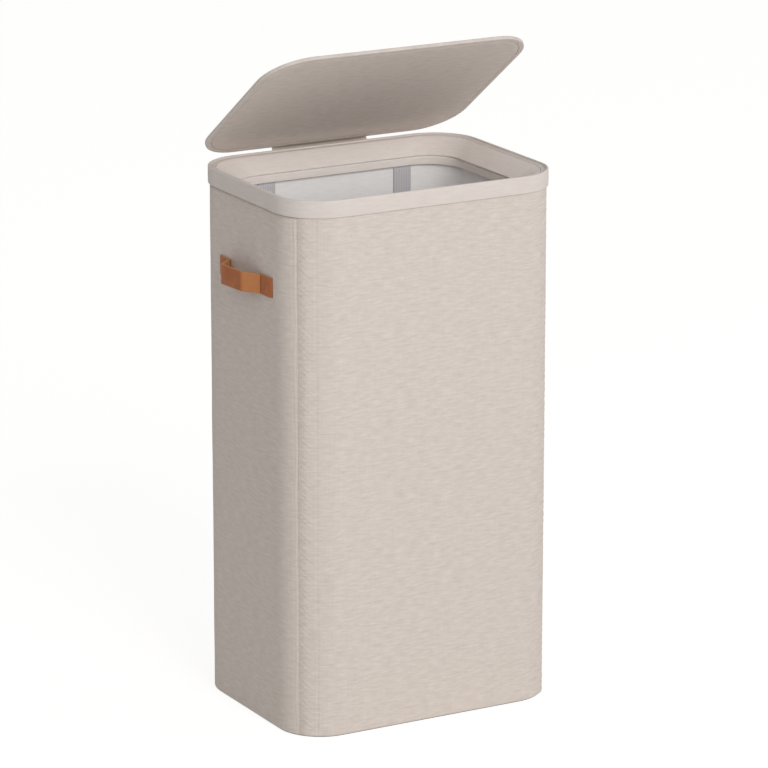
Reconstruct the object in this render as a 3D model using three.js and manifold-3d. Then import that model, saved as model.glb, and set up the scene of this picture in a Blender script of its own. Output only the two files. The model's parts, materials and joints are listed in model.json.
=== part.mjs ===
// Tall laundry hamper: a fabric-covered board body with rounded corners, a rim frame,
// a lift-out liner divided into two bins, and a thin lid on a hinge behind the rim.
// Millimetres, +Z up. The origin is the middle of the footprint, on the floor.
// X runs across the width, and the hinge is on the +Y side.
import * as THREE from 'three';
import { mergeVertices } from 'three/addons/utils/BufferGeometryUtils.js';
import Module from 'manifold-3d';

const wasm = await Module();
wasm.setup();

// Body
const BODY_WIDTH = 360;
const BODY_DEPTH = 270;
const HAMPER_HEIGHT = 660;
const CORNER_RADIUS = 57;
const OUTER_FABRIC = 1.2;
const SIDE_BOARD = 3;
const LINING = 0.8;
const BASE_FABRIC = 1.2;
const BASE_BOARD = 6;
const SEAM_ANGLE = 55;

// One clearance serves every pair of pieces that touch in the real hamper
const FIT_GAP = 0.3;

// Rim
const RIM_HEIGHT = 21.2;
const RIM_WIDTH = 9.7;
const RIM_OVERHANG = 1.9;
const RIM_FABRIC = 0.8;
const RIM_EDGE = 0.8;
const LIP_WIDTH = 3.1;
const LIP_HEIGHT = 2.1;
const RIM_SLOT_MARGIN = 0.3;

// Ring that the liner's collar rests on
const REST_WIDTH = 4;
const REST_HEIGHT = 4.1;

// Liner collar, which slopes from the rim down to the mouth of the bag
const COLLAR_TOP_STEP = 0.7;
const COLLAR_DROP = 16.3;
const COLLAR_LIP = 1.7;
const COLLAR_INSET = 31.8;
const COLLAR_RADIUS = 42;
const COLLAR_LEG = 2;
const COLLAR_SKIN = 5.6;

// Hoop sewn into the hem of the bag
const HOOP_HEIGHT = 10.9;
const HOOP_THICKNESS = 5;
const HOOP_SETBACK = 1;
const HOOP_RADIUS = 46;

// Bag, divider and webbing
const BAG_CLOTH = 1.2;
const DIVIDER_THICKNESS = 3;
const DIVIDER_DROP = 58;
const STRAP_WIDTH = 24;
const STRAP_THICKNESS = 1.5;
const STRAP_GAP = 0.6;
const STRAP_FROM_CORNER = 8.7;

// Leather carrying handles
const HANDLE_HEIGHT = 24;
const HANDLE_THICKNESS = 3;
const HANDLE_CENTRE_BELOW_RIM = 113.7;
const HANDLE_FORWARD = 3;
const HANDLE_FROM_CORNER = 11.5;
const HANDLE_RISE_FRONT = 15;
const HANDLE_RISE_REAR = 19;
const BACKING_THICKNESS = 2;
const BACKING_SHORTER = 4.5;
const BACKING_TALLER = 3.5;

// Bends of a handle, as shares of half its length from its middle
const HANDLE_FOOT_SHARE = 0.61;
const HANDLE_FRONT_BEND_SHARE = 0.27;
const HANDLE_REAR_BEND_SHARE = 0.36;

// Lid
const LID_SIDE_GAP = 0.35;
const LID_END_GAP = 1.95;
const LID_CORNER_GAP = 1.3;
const LID_BOARD = 2.2;
const LID_FABRIC = 0.8;
const LID_HEM = 7;
const LID_EDGE = 0.6;
const LID_REST_GAP = 0.4;
const LID_OPEN_ANGLE = 35.4;

// Hinge
const HINGE_WIDTH = 131;
const HINGE_KNUCKLES = 5;
const KNUCKLE_GAP = 0.5;
const KNUCKLE_RADIUS = 3;
const PIN_RADIUS = 1.3;
const PIN_HEAD_RADIUS = 2.4;
const PIN_HEAD_LENGTH = 1.2;
const LEAF_THICKNESS = 1.5;
const LEAF_BELOW_RIM_TOP = 3.6;
const LEAF_ABOVE_RIM_BOTTOM = 0.6;
const LID_LEAF_REACH = 32;
const SCREW_RADIUS = 1.1;
const SCREW_HEAD_RADIUS = 2;
const SCREW_HEAD_HEIGHT = 1;
const RIM_SCREW_LENGTH = 6;
const LID_SCREW_COVER = 0.8;
const SCREW_PITCH = 50;
const RIM_SCREW_RISE = 3;
const SCREW_TO_KNUCKLE = 0.8;
const LID_SCREW_FROM_EDGE = 12;

// Facets
const CORNER_STEPS = 8;
const ROUND_SIDES = 16;
const SCREW_SIDES = 10;
const CUT_OVERRUN = 2;

// Colours of the finished surfaces
const LINEN = 0xd6cdc2;
const RIM_LINEN = 0xdfd6cc;
const WHITE_CLOTH = 0xeceae7;
const GREY_WEBBING = 0xa6a1a4;
const TAN_LEATHER = 0xa8683c;
const GREYBOARD = 0xa89a86;
const PALE_LINING = 0xd9d4cc;
const TAUPE_PLASTIC = 0x8f8377;
const STEEL = 0xb9b9ba;
const BLACK_CLOTH = 0x5b5650;

const hamper = new THREE.Group();
const lid = new THREE.Group();

function addPiece(group, name, geometry, colour, roughness, metalness = 0) {
  const material = new THREE.MeshStandardMaterial({ color: colour, roughness, metalness });
  const mesh = new THREE.Mesh(geometry, material);
  mesh.name = name;
  group.add(mesh);
  return mesh;
}

// Rounded rectangle, counter-clockwise seen from above
function roundedRectangle(halfX, halfY, radius) {
  const points = [];
  const corners = [[1, -1], [1, 1], [-1, 1], [-1, -1]];
  corners.forEach(([signX, signY], corner) => {
    for (let step = 0; step <= CORNER_STEPS; step += 1) {
      const angle = (corner - 1 + step / CORNER_STEPS) * Math.PI / 2;
      const x = signX * (halfX - radius) + radius * Math.cos(angle);
      const y = signY * (halfY - radius) + radius * Math.sin(angle);
      points.push(new THREE.Vector2(x, y));
    }
  });
  return points;
}

// Loop set in from the body's outer face, at a height
function bodyLoop(inset, z, radius = CORNER_RADIUS - inset) {
  return { z, points: roundedRectangle(BODY_WIDTH / 2 - inset, BODY_DEPTH / 2 - inset, radius) };
}

// The lid lies inside the rim's lip
const lipInner = LIP_WIDTH - RIM_OVERHANG;
const lidHalfWidth = BODY_WIDTH / 2 - lipInner - LID_SIDE_GAP;
const lidHalfDepth = BODY_DEPTH / 2 - lipInner - LID_END_GAP;
const lidRadius = CORNER_RADIUS - lipInner - LID_CORNER_GAP;

// Loop set in from the lid's outline, at a height
function lidLoop(inset, z) {
  return { z, points: roundedRectangle(lidHalfWidth - inset, lidHalfDepth - inset, lidRadius - inset) };
}

// Signed volume of an indexed mesh, negative where its faces point in
function signedVolume(positions, index) {
  const [a, b, c] = [new THREE.Vector3(), new THREE.Vector3(), new THREE.Vector3()];
  let volume = 0;
  for (let i = 0; i < index.length; i += 3) {
    a.fromArray(positions, index[i] * 3);
    b.fromArray(positions, index[i + 1] * 3);
    c.fromArray(positions, index[i + 2] * 3);
    volume += a.dot(b.cross(c)) / 6;
  }
  return volume;
}

// Solid through a row of loops: a ring joins the last loop to the first, and
// anything else is closed by a flat cap at each end
function loft(loops, isRing) {
  const count = loops[0].points.length;
  const positions = loops.flatMap(({ z, points }) => points.flatMap(({ x, y }) => [x, y, z]));
  const index = [];
  const rows = isRing ? loops.length : loops.length - 1;
  for (let row = 0; row < rows; row += 1) {
    const next = (row + 1) % loops.length;
    for (let i = 0; i < count; i += 1) {
      const j = (i + 1) % count;
      const [a, b] = [row * count + i, row * count + j];
      const [c, d] = [next * count + i, next * count + j];
      index.push(a, b, d, a, d, c);
    }
  }
  if (!isRing) {
    const last = (loops.length - 1) * count;
    for (let i = 1; i < count - 1; i += 1) {
      index.push(0, i + 1, i);
      index.push(last, last + i, last + i + 1);
    }
  }
  if (signedVolume(positions, index) < 0) index.reverse();
  const geometry = new THREE.BufferGeometry();
  geometry.setAttribute('position', new THREE.Float32BufferAttribute(positions, 3));
  geometry.setIndex(index);
  geometry.computeVertexNormals();
  return geometry;
}

function upright(points, bottom, top) {
  const shape = new THREE.Shape(points);
  const geometry = new THREE.ExtrudeGeometry(shape, { depth: top - bottom, bevelEnabled: false });
  return geometry.translate(0, 0, bottom);
}

function block(sizeX, sizeY, sizeZ, x, y, z) {
  return new THREE.BoxGeometry(sizeX, sizeY, sizeZ).translate(x, y, z);
}

function rodAlongX(radius, length, sides) {
  return new THREE.CylinderGeometry(radius, radius, length, sides).rotateZ(Math.PI / 2);
}

function toSolid(geometry) {
  const bare = geometry.clone();
  bare.deleteAttribute('normal');
  bare.deleteAttribute('uv');
  const merged = mergeVertices(bare);
  const mesh = new wasm.Mesh({
    numProp: 3,
    vertProperties: new Float32Array(merged.attributes.position.array),
    triVerts: new Uint32Array(merged.index.array),
  });
  return new wasm.Manifold(mesh);
}

function toGeometry(solid) {
  const mesh = solid.getMesh();
  const geometry = new THREE.BufferGeometry();
  const positions = new Float32Array(mesh.vertProperties);
  geometry.setAttribute('position', new THREE.BufferAttribute(positions, 3));
  geometry.setIndex(Array.from(mesh.triVerts));
  geometry.computeVertexNormals();
  return geometry;
}

function joinAndCut(adds, cuts) {
  let solid = toSolid(adds[0]);
  adds.slice(1).forEach((piece) => {
    solid = solid.add(toSolid(piece));
  });
  cuts.forEach((piece) => {
    solid = solid.subtract(toSolid(piece));
  });
  return toGeometry(solid);
}

// Insets from the body's outer face, working inwards
const boardOuter = OUTER_FABRIC + FIT_GAP;
const boardInner = boardOuter + SIDE_BOARD;
const liningOuter = boardInner + FIT_GAP;
const liningInner = liningOuter + LINING;

// Heights of the rim
const rimBottom = HAMPER_HEIGHT - RIM_HEIGHT;
const shelfTop = HAMPER_HEIGHT - LIP_HEIGHT;
const rimInner = RIM_WIDTH - RIM_OVERHANG;
const frameBottom = rimBottom + RIM_FABRIC + FIT_GAP;

// Side of the body with the parts of its corners up to an angle round them. The
// sides are numbered counter-clockwise: 0 right, 1 back, 2 left, 3 front.
function sideLine(side, inset, sweep) {
  const radius = CORNER_RADIUS - inset;
  const centreX = BODY_WIDTH / 2 - CORNER_RADIUS;
  const centreY = BODY_DEPTH / 2 - CORNER_RADIUS;
  const turn = side * Math.PI / 2;
  const facing = new THREE.Vector2(Math.cos(turn), Math.sin(turn));
  const along = new THREE.Vector2(-facing.y, facing.x);
  const reach = Math.abs(facing.x * centreX + facing.y * centreY);
  const half = Math.abs(along.x * centreX + along.y * centreY);
  const stepAngle = Math.PI / 2 / CORNER_STEPS;
  const angles = Array.from({ length: Math.ceil(sweep / stepAngle) }, (_, step) => step * stepAngle);
  angles.push(sweep);
  const corner = (end) => angles.map((angle) => {
    const out = reach + radius * Math.cos(angle);
    const sideways = end * (half + radius * Math.sin(angle));
    return facing.clone().multiplyScalar(out).addScaledVector(along, sideways);
  });
  return [...corner(-1).reverse(), ...corner(1)];
}

// Outer fabric: four panels sewn together down each corner. The long panels reach
// further round the corners than the short ones.
function makeOuterFabric() {
  const seamHalfGap = FIT_GAP / 2 / CORNER_RADIUS;
  const seam = THREE.MathUtils.degToRad(SEAM_ANGLE);
  ['right', 'back', 'left', 'front'].forEach((name, side) => {
    const isLong = side % 2 === 1;
    const sweep = (isLong ? seam : Math.PI / 2 - seam) - seamHalfGap;
    const outside = sideLine(side, 0, sweep);
    const inside = sideLine(side, OUTER_FABRIC, sweep).reverse();
    const geometry = upright([...outside, ...inside], 0, rimBottom - FIT_GAP);
    addPiece(hamper, `${name}_fabric`, geometry, LINEN, 0.9);
  });
}

// Stiffening boards: a flat one in each side and a bent former in each corner
function makeBoards() {
  const bottom = BASE_FABRIC + FIT_GAP;
  const top = frameBottom - FIT_GAP;
  const height = top - bottom;
  const middle = (top + bottom) / 2;
  const flatWidth = BODY_WIDTH - 2 * CORNER_RADIUS - 2 * FIT_GAP;
  const flatDepth = BODY_DEPTH - 2 * CORNER_RADIUS - 2 * FIT_GAP;
  const acrossY = BODY_DEPTH / 2 - (boardOuter + boardInner) / 2;
  const acrossX = BODY_WIDTH / 2 - (boardOuter + boardInner) / 2;
  for (const [name, sign] of [['front', -1], ['back', 1]]) {
    const board = block(flatWidth, SIDE_BOARD, height, 0, sign * acrossY, middle);
    addPiece(hamper, `${name}_board`, board, GREYBOARD, 0.95);
  }
  for (const [name, sign] of [['left', -1], ['right', 1]]) {
    const board = block(SIDE_BOARD, flatDepth, height, sign * acrossX, 0, middle);
    addPiece(hamper, `${name}_board`, board, GREYBOARD, 0.95);
  }
  const corners = [
    ['front_right', 1, -1],
    ['back_right', 1, 1],
    ['back_left', -1, 1],
    ['front_left', -1, -1],
  ];
  corners.forEach(([name, signX, signY], corner) => {
    const centre = new THREE.Vector2(
      signX * (BODY_WIDTH / 2 - CORNER_RADIUS),
      signY * (BODY_DEPTH / 2 - CORNER_RADIUS),
    );
    const arc = (radius) => Array.from({ length: CORNER_STEPS + 1 }, (_, step) => {
      const angle = (corner - 1 + step / CORNER_STEPS) * Math.PI / 2;
      return new THREE.Vector2(radius * Math.cos(angle), radius * Math.sin(angle)).add(centre);
    });
    const outside = arc(CORNER_RADIUS - boardOuter);
    const inside = arc(CORNER_RADIUS - boardInner).reverse();
    const former = upright([...outside, ...inside], bottom, top);
    addPiece(hamper, `${name}_corner_former`, former, GREYBOARD, 0.95);
  });
}

// Base: a board between the side boards, with cloth under it
const baseBoardTop = BASE_FABRIC + FIT_GAP + BASE_BOARD;
const liningFloor = baseBoardTop + FIT_GAP + LINING;

function makeBase() {
  const fabric = loft([bodyLoop(boardOuter, 0), bodyLoop(boardOuter, BASE_FABRIC)], false);
  addPiece(hamper, 'base_fabric', fabric, BLACK_CLOTH, 0.95);
  const bottom = BASE_FABRIC + FIT_GAP;
  const board = loft([bodyLoop(liningOuter, bottom), bodyLoop(liningOuter, baseBoardTop)], false);
  addPiece(hamper, 'base_board', board, GREYBOARD, 0.95);
}

// Thin lining glued to the inside of the boards and over the base
function makeLining() {
  const top = rimBottom - FIT_GAP;
  const lining = loft([
    bodyLoop(liningOuter, baseBoardTop + FIT_GAP),
    bodyLoop(liningOuter, top),
    bodyLoop(liningInner, top),
    bodyLoop(liningInner, liningFloor),
  ], false);
  addPiece(hamper, 'body_lining', lining, PALE_LINING, 0.9);
}

// Rim: a board frame wrapped in smooth fabric, with a low lip around the lid's seat.
// The wrap is open below, where the side boards meet the frame.
function makeRim(screwHoles) {
  const outer = -RIM_OVERHANG;
  const coverOuter = outer + RIM_FABRIC;
  const coverInner = rimInner - RIM_FABRIC;
  const slotOuter = boardOuter - RIM_SLOT_MARGIN;
  const slotInner = boardInner + RIM_SLOT_MARGIN;
  const top = HAMPER_HEIGHT;
  const cover = loft([
    bodyLoop(slotOuter, rimBottom),
    bodyLoop(outer + RIM_EDGE, rimBottom),
    bodyLoop(outer, rimBottom + RIM_EDGE),
    bodyLoop(outer, top - RIM_EDGE),
    bodyLoop(outer + RIM_EDGE, top),
    bodyLoop(lipInner - RIM_EDGE, top),
    bodyLoop(lipInner, shelfTop),
    bodyLoop(rimInner - RIM_EDGE, shelfTop),
    bodyLoop(rimInner, shelfTop - RIM_EDGE),
    bodyLoop(rimInner, rimBottom),
    bodyLoop(slotInner, rimBottom),
    bodyLoop(slotInner, rimBottom + RIM_FABRIC),
    bodyLoop(coverInner, rimBottom + RIM_FABRIC),
    bodyLoop(coverInner, shelfTop - RIM_EDGE),
    bodyLoop(lipInner - RIM_FABRIC, shelfTop - RIM_EDGE),
    bodyLoop(lipInner - RIM_FABRIC - RIM_EDGE, top - RIM_FABRIC),
    bodyLoop(coverOuter, top - RIM_FABRIC),
    bodyLoop(coverOuter, rimBottom + RIM_FABRIC),
    bodyLoop(slotOuter, rimBottom + RIM_FABRIC),
  ], true);
  addPiece(hamper, 'rim_fabric', joinAndCut([cover], screwHoles), RIM_LINEN, 0.85);
  const frameOuter = coverOuter + FIT_GAP;
  const frameInner = coverInner - FIT_GAP;
  const frameTop = shelfTop - RIM_EDGE - FIT_GAP;
  const frame = loft([
    bodyLoop(frameOuter, frameBottom),
    bodyLoop(frameOuter, frameTop),
    bodyLoop(frameInner, frameTop),
    bodyLoop(frameInner, frameBottom),
  ], true);
  addPiece(hamper, 'rim_frame', joinAndCut([frame], screwHoles), GREYBOARD, 0.9);
}

// Ring glued inside the rim, which carries the liner's collar
const restOuter = rimInner + FIT_GAP;
const restTop = frameBottom + REST_HEIGHT;

function makeCollarRest() {
  const ring = loft([
    bodyLoop(restOuter, frameBottom),
    bodyLoop(restOuter, restTop),
    bodyLoop(restOuter + REST_WIDTH, restTop),
    bodyLoop(restOuter + REST_WIDTH, frameBottom),
  ], true);
  addPiece(hamper, 'collar_rest', ring, GREYBOARD, 0.9);
}

// Heights and insets of the liner
const collarTop = shelfTop - COLLAR_TOP_STEP;
const collarEdgeTop = collarTop - COLLAR_DROP;
const collarBottom = collarEdgeTop - COLLAR_LIP;
const hoopInner = COLLAR_INSET - HOOP_SETBACK;
const hoopOuter = hoopInner - HOOP_THICKNESS;
const hoopTop = collarBottom - FIT_GAP;
const hoopBottom = hoopTop - HOOP_HEIGHT;
const bagInner = hoopOuter - FIT_GAP;
const bagOuter = bagInner - BAG_CLOTH;
const bagBottom = liningFloor + FIT_GAP;
const bagFloor = bagBottom + BAG_CLOTH;

function hoopRadius(inset) {
  return HOOP_RADIUS + hoopInner - inset;
}

// Collar of the liner: a fabric-covered funnel that drops inside the rim
function makeCollar() {
  const legInner = restOuter + COLLAR_LEG;
  const legBottom = restTop + FIT_GAP;
  const legTop = collarTop - COLLAR_SKIN;
  const ring = loft([
    bodyLoop(restOuter, collarTop),
    bodyLoop(COLLAR_INSET, collarEdgeTop, COLLAR_RADIUS),
    bodyLoop(COLLAR_INSET, collarBottom, COLLAR_RADIUS),
    bodyLoop(bagInner, collarBottom, hoopRadius(bagInner)),
    bodyLoop(legInner, legTop),
    bodyLoop(legInner, legBottom),
    bodyLoop(restOuter, legBottom),
  ], true);
  addPiece(hamper, 'liner_collar', ring, RIM_LINEN, 0.85);
}

// Stiff hoop in the hem of the bag, hung under the collar
function makeHoop() {
  const ring = loft([
    bodyLoop(hoopInner, hoopTop, hoopRadius(hoopInner)),
    bodyLoop(hoopInner, hoopBottom, hoopRadius(hoopInner)),
    bodyLoop(hoopOuter, hoopBottom, hoopRadius(hoopOuter)),
    bodyLoop(hoopOuter, hoopTop, hoopRadius(hoopOuter)),
  ], true);
  addPiece(hamper, 'liner_hoop', ring, RIM_LINEN, 0.9);
}

// White bag, sewn around the hoop and hanging to the floor of the body
function makeBag() {
  const bag = loft([
    bodyLoop(bagOuter, bagBottom, hoopRadius(bagOuter)),
    bodyLoop(bagOuter, hoopTop, hoopRadius(bagOuter)),
    bodyLoop(bagInner, hoopTop, hoopRadius(bagInner)),
    bodyLoop(bagInner, bagFloor, hoopRadius(bagInner)),
  ], false);
  addPiece(hamper, 'liner_bag', bag, WHITE_CLOTH, 0.95);
}

// Board in a cloth sleeve that parts the bag into the two bins
function makeDivider() {
  const top = hoopBottom - DIVIDER_DROP;
  const bottom = bagFloor + FIT_GAP;
  const depth = BODY_DEPTH - 2 * bagInner - 2 * FIT_GAP;
  const board = block(DIVIDER_THICKNESS, depth, top - bottom, 0, 0, (top + bottom) / 2);
  addPiece(hamper, 'liner_divider', board, WHITE_CLOTH, 0.95);
}

// Webbing down the back of a bin, across its floor and up the front
function makeStraps() {
  const outY = BODY_DEPTH / 2 - bagInner - STRAP_GAP;
  const inY = outY - STRAP_THICKNESS;
  const top = hoopBottom - FIT_GAP;
  const low = bagFloor + FIT_GAP;
  const high = low + STRAP_THICKNESS;
  const outline = [
    [-outY, top], [-outY, low], [outY, low], [outY, top],
    [inY, top], [inY, high], [-inY, high], [-inY, top],
  ].map(([y, z]) => new THREE.Vector2(y, z));
  const flatHalf = BODY_WIDTH / 2 - bagInner - hoopRadius(bagInner);
  for (const [name, sign] of [['left', -1], ['right', 1]]) {
    const strap = upright(outline, 0, STRAP_WIDTH);
    strap.rotateX(Math.PI / 2).rotateZ(Math.PI / 2);
    strap.translate(sign * (flatHalf - STRAP_FROM_CORNER) - STRAP_WIDTH / 2, 0, 0);
    addPiece(hamper, `${name}_bin_strap`, strap, GREY_WEBBING, 0.8);
  }
}

// Line offset sideways by a distance, mitred at its bends
function offsetLine(points, distance) {
  const normals = points.slice(1).map((point, i) => {
    const along = point.clone().sub(points[i]).normalize();
    return new THREE.Vector2(-along.y, along.x);
  });
  return points.map((point, i) => {
    const before = normals[Math.max(i - 1, 0)];
    const after = normals[Math.min(i, normals.length - 1)];
    const mitre = before.clone().add(after).normalize();
    return point.clone().addScaledVector(mitre, distance / mitre.dot(after));
  });
}

// Leather strap sewn down at both feet and bowed out between them, and the plate
// inside the wall that its stitches go through
function makeHandles() {
  const middle = HAMPER_HEIGHT - HANDLE_CENTRE_BELOW_RIM;
  const half = BODY_DEPTH / 2 - CORNER_RADIUS - HANDLE_FROM_CORNER;
  const face = BODY_WIDTH / 2 + FIT_GAP;
  const line = [
    [face, -half],
    [face, -HANDLE_FOOT_SHARE * half],
    [face + HANDLE_RISE_FRONT, -HANDLE_FRONT_BEND_SHARE * half],
    [face + HANDLE_RISE_REAR, HANDLE_REAR_BEND_SHARE * half],
    [face, HANDLE_FOOT_SHARE * half],
    [face, half],
  ].map(([x, y]) => new THREE.Vector2(x, y - HANDLE_FORWARD));
  const outside = offsetLine(line, -HANDLE_THICKNESS);
  const outline = [...line, ...outside.reverse()];
  const backingX = BODY_WIDTH / 2 - liningInner - FIT_GAP - BACKING_THICKNESS / 2;
  const backingLength = 2 * (half - BACKING_SHORTER);
  const backingHeight = HANDLE_HEIGHT + 2 * BACKING_TALLER;
  for (const [name, sign] of [['left', -1], ['right', 1]]) {
    const points = outline.map(({ x, y }) => new THREE.Vector2(sign * x, y));
    const strap = upright(points, middle - HANDLE_HEIGHT / 2, middle + HANDLE_HEIGHT / 2);
    addPiece(hamper, `${name}_handle`, strap, TAN_LEATHER, 0.55);
    const x = sign * backingX;
    const plate = block(BACKING_THICKNESS, backingLength, backingHeight, x, -HANDLE_FORWARD, middle);
    addPiece(hamper, `${name}_handle_backing`, plate, GREYBOARD, 0.9);
  }
}

// Heights of the closed lid
const lidBottom = shelfTop + LID_REST_GAP;
const lidBoardBottom = lidBottom + LID_FABRIC + FIT_GAP;
const lidBoardTop = lidBoardBottom + LID_BOARD;
const lidTop = lidBoardTop + FIT_GAP + LID_FABRIC;

// The hinge's axis lies behind the rim, above the screws that hold its leaf there
const rimLeafBottom = rimBottom + LEAF_ABOVE_RIM_BOTTOM;
const rimScrewZ = rimLeafBottom + RIM_SCREW_RISE;
const pivotZ = rimScrewZ + SCREW_HEAD_RADIUS + SCREW_TO_KNUCKLE + KNUCKLE_RADIUS;
const rimLeafInner = BODY_DEPTH / 2 + RIM_OVERHANG + FIT_GAP;
const rimLeafOuter = rimLeafInner + LEAF_THICKNESS;
const pivotY = rimLeafOuter + FIT_GAP + KNUCKLE_RADIUS;
const boreRadius = (PIN_RADIUS + FIT_GAP) / Math.cos(Math.PI / ROUND_SIDES);
const knucklePitch = HINGE_WIDTH / HINGE_KNUCKLES;
const knuckleLength = knucklePitch - KNUCKLE_GAP;
const screwHoleRadius = (SCREW_RADIUS + FIT_GAP) / Math.cos(Math.PI / SCREW_SIDES);
const screwPlaces = [-SCREW_PITCH, 0, SCREW_PITCH];

function knuckleX(number) {
  return (number - (HINGE_KNUCKLES - 1) / 2) * knucklePitch;
}

// Numbers of the knuckles on one leaf: the rim's leaf has the outermost ones
function knucklesOf(isRimLeaf) {
  const numbers = Array.from({ length: HINGE_KNUCKLES }, (_, number) => number);
  return numbers.filter((number) => (number % 2 === 0) === isRimLeaf);
}

function knuckle(number) {
  const barrel = rodAlongX(KNUCKLE_RADIUS, knuckleLength, ROUND_SIDES);
  return barrel.translate(knuckleX(number), pivotY, pivotZ);
}

function pinBore() {
  const length = HINGE_WIDTH + 2 * CUT_OVERRUN;
  return rodAlongX(boreRadius, length, ROUND_SIDES).translate(0, pivotY, pivotZ);
}

// Holes for the screws that hold the hinge to the rim
function rimScrewHoles() {
  const start = rimLeafOuter + CUT_OVERRUN;
  const end = start - CUT_OVERRUN - RIM_SCREW_LENGTH - FIT_GAP;
  return screwPlaces.map((x) => {
    const hole = new THREE.CylinderGeometry(screwHoleRadius, screwHoleRadius, start - end, SCREW_SIDES);
    return hole.translate(x, (start + end) / 2, rimScrewZ);
  });
}

function makeRimLeaf() {
  const top = HAMPER_HEIGHT - LEAF_BELOW_RIM_TOP;
  const height = top - rimLeafBottom;
  const y = (rimLeafInner + rimLeafOuter) / 2;
  const plate = block(HINGE_WIDTH, LEAF_THICKNESS, height, 0, y, top - height / 2);
  const webDepth = pivotY - y;
  const webs = knucklesOf(true).map((number) => (
    block(knuckleLength, webDepth, KNUCKLE_RADIUS, knuckleX(number), y + webDepth / 2, pivotZ)
  ));
  const barrels = knucklesOf(true).map(knuckle);
  const leaf = joinAndCut([plate, ...webs, ...barrels], [pinBore(), ...rimScrewHoles()]);
  addPiece(hamper, 'hinge_rim_leaf', leaf, TAUPE_PLASTIC, 0.5);
}

function makePin() {
  const shaft = rodAlongX(PIN_RADIUS, HINGE_WIDTH + 2 * FIT_GAP + PIN_HEAD_LENGTH, ROUND_SIDES);
  const headX = HINGE_WIDTH / 2 + FIT_GAP + PIN_HEAD_LENGTH / 2;
  const heads = [-1, 1].map((sign) => (
    rodAlongX(PIN_HEAD_RADIUS, PIN_HEAD_LENGTH, ROUND_SIDES).translate(sign * headX, 0, 0)
  ));
  const pin = joinAndCut([shaft, ...heads], []).translate(0, pivotY, pivotZ);
  addPiece(hamper, 'hinge_pin', pin, STEEL, 0.35, 1);
}

// Screw whose head sits on the origin and whose shank runs down the -Y axis
function screw(length) {
  const shankLength = length + SCREW_HEAD_HEIGHT / 2;
  const shank = new THREE.CylinderGeometry(SCREW_RADIUS, SCREW_RADIUS, shankLength, SCREW_SIDES);
  shank.translate(0, shankLength / 2 - length, 0);
  const headRadius = SCREW_HEAD_RADIUS;
  const head = new THREE.CylinderGeometry(headRadius, headRadius, SCREW_HEAD_HEIGHT, SCREW_SIDES);
  head.translate(0, SCREW_HEAD_HEIGHT / 2, 0);
  return joinAndCut([shank, head], []);
}

function makeRimScrews() {
  screwPlaces.forEach((x, i) => {
    const geometry = screw(RIM_SCREW_LENGTH).translate(x, rimLeafOuter + FIT_GAP, rimScrewZ);
    addPiece(hamper, `rim_screw_${i + 1}`, geometry, STEEL, 0.35, 1);
  });
}

// The lid's pieces are placed as they lie when it is closed, about the hinge's axis
function addLidPiece(name, geometry, colour, roughness, metalness = 0) {
  geometry.translate(0, -pivotY, -pivotZ);
  addPiece(lid, name, geometry, colour, roughness, metalness);
}

const lidLeafBottom = lidTop + FIT_GAP;
const lidLeafTop = lidLeafBottom + LEAF_THICKNESS;
const lidLeafOuter = pivotY - KNUCKLE_RADIUS + KNUCKLE_GAP + LEAF_THICKNESS;
const lidScrewY = lidHalfDepth - LID_SCREW_FROM_EDGE;
const lidScrewTip = lidBoardBottom + LID_SCREW_COVER;

// Holes for the screws that hold the hinge to the lid
function lidScrewHoles() {
  const start = lidLeafTop + CUT_OVERRUN;
  const end = lidScrewTip - FIT_GAP;
  return screwPlaces.map((x) => {
    const hole = new THREE.CylinderGeometry(screwHoleRadius, screwHoleRadius, start - end, SCREW_SIDES);
    return hole.rotateX(Math.PI / 2).translate(x, lidScrewY, (start + end) / 2);
  });
}

// Top fabric, drawn over the edge of the lid's board and turned under as a hem
function makeLidFabric() {
  const cover = loft([
    lidLoop(LID_FABRIC, lidBoardTop + FIT_GAP),
    lidLoop(LID_FABRIC, lidBottom + LID_FABRIC),
    lidLoop(LID_HEM, lidBottom + LID_FABRIC),
    lidLoop(LID_HEM, lidBottom),
    lidLoop(LID_EDGE, lidBottom),
    lidLoop(0, lidBottom + LID_EDGE),
    lidLoop(0, lidTop - LID_EDGE),
    lidLoop(LID_EDGE, lidTop),
  ], false);
  addLidPiece('lid_fabric', joinAndCut([cover], lidScrewHoles()), LINEN, 0.9);
}

function makeLidBoard() {
  const inset = LID_FABRIC + FIT_GAP;
  const board = loft([lidLoop(inset, lidBoardBottom), lidLoop(inset, lidBoardTop)], false);
  addLidPiece('lid_board', joinAndCut([board], lidScrewHoles()), GREYBOARD, 0.95);
}

function makeLidLining() {
  const inset = LID_HEM + FIT_GAP;
  const lining = loft([lidLoop(inset, lidBottom), lidLoop(inset, lidBottom + LID_FABRIC)], false);
  addLidPiece('lid_lining', lining, LINEN, 0.9);
}

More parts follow.
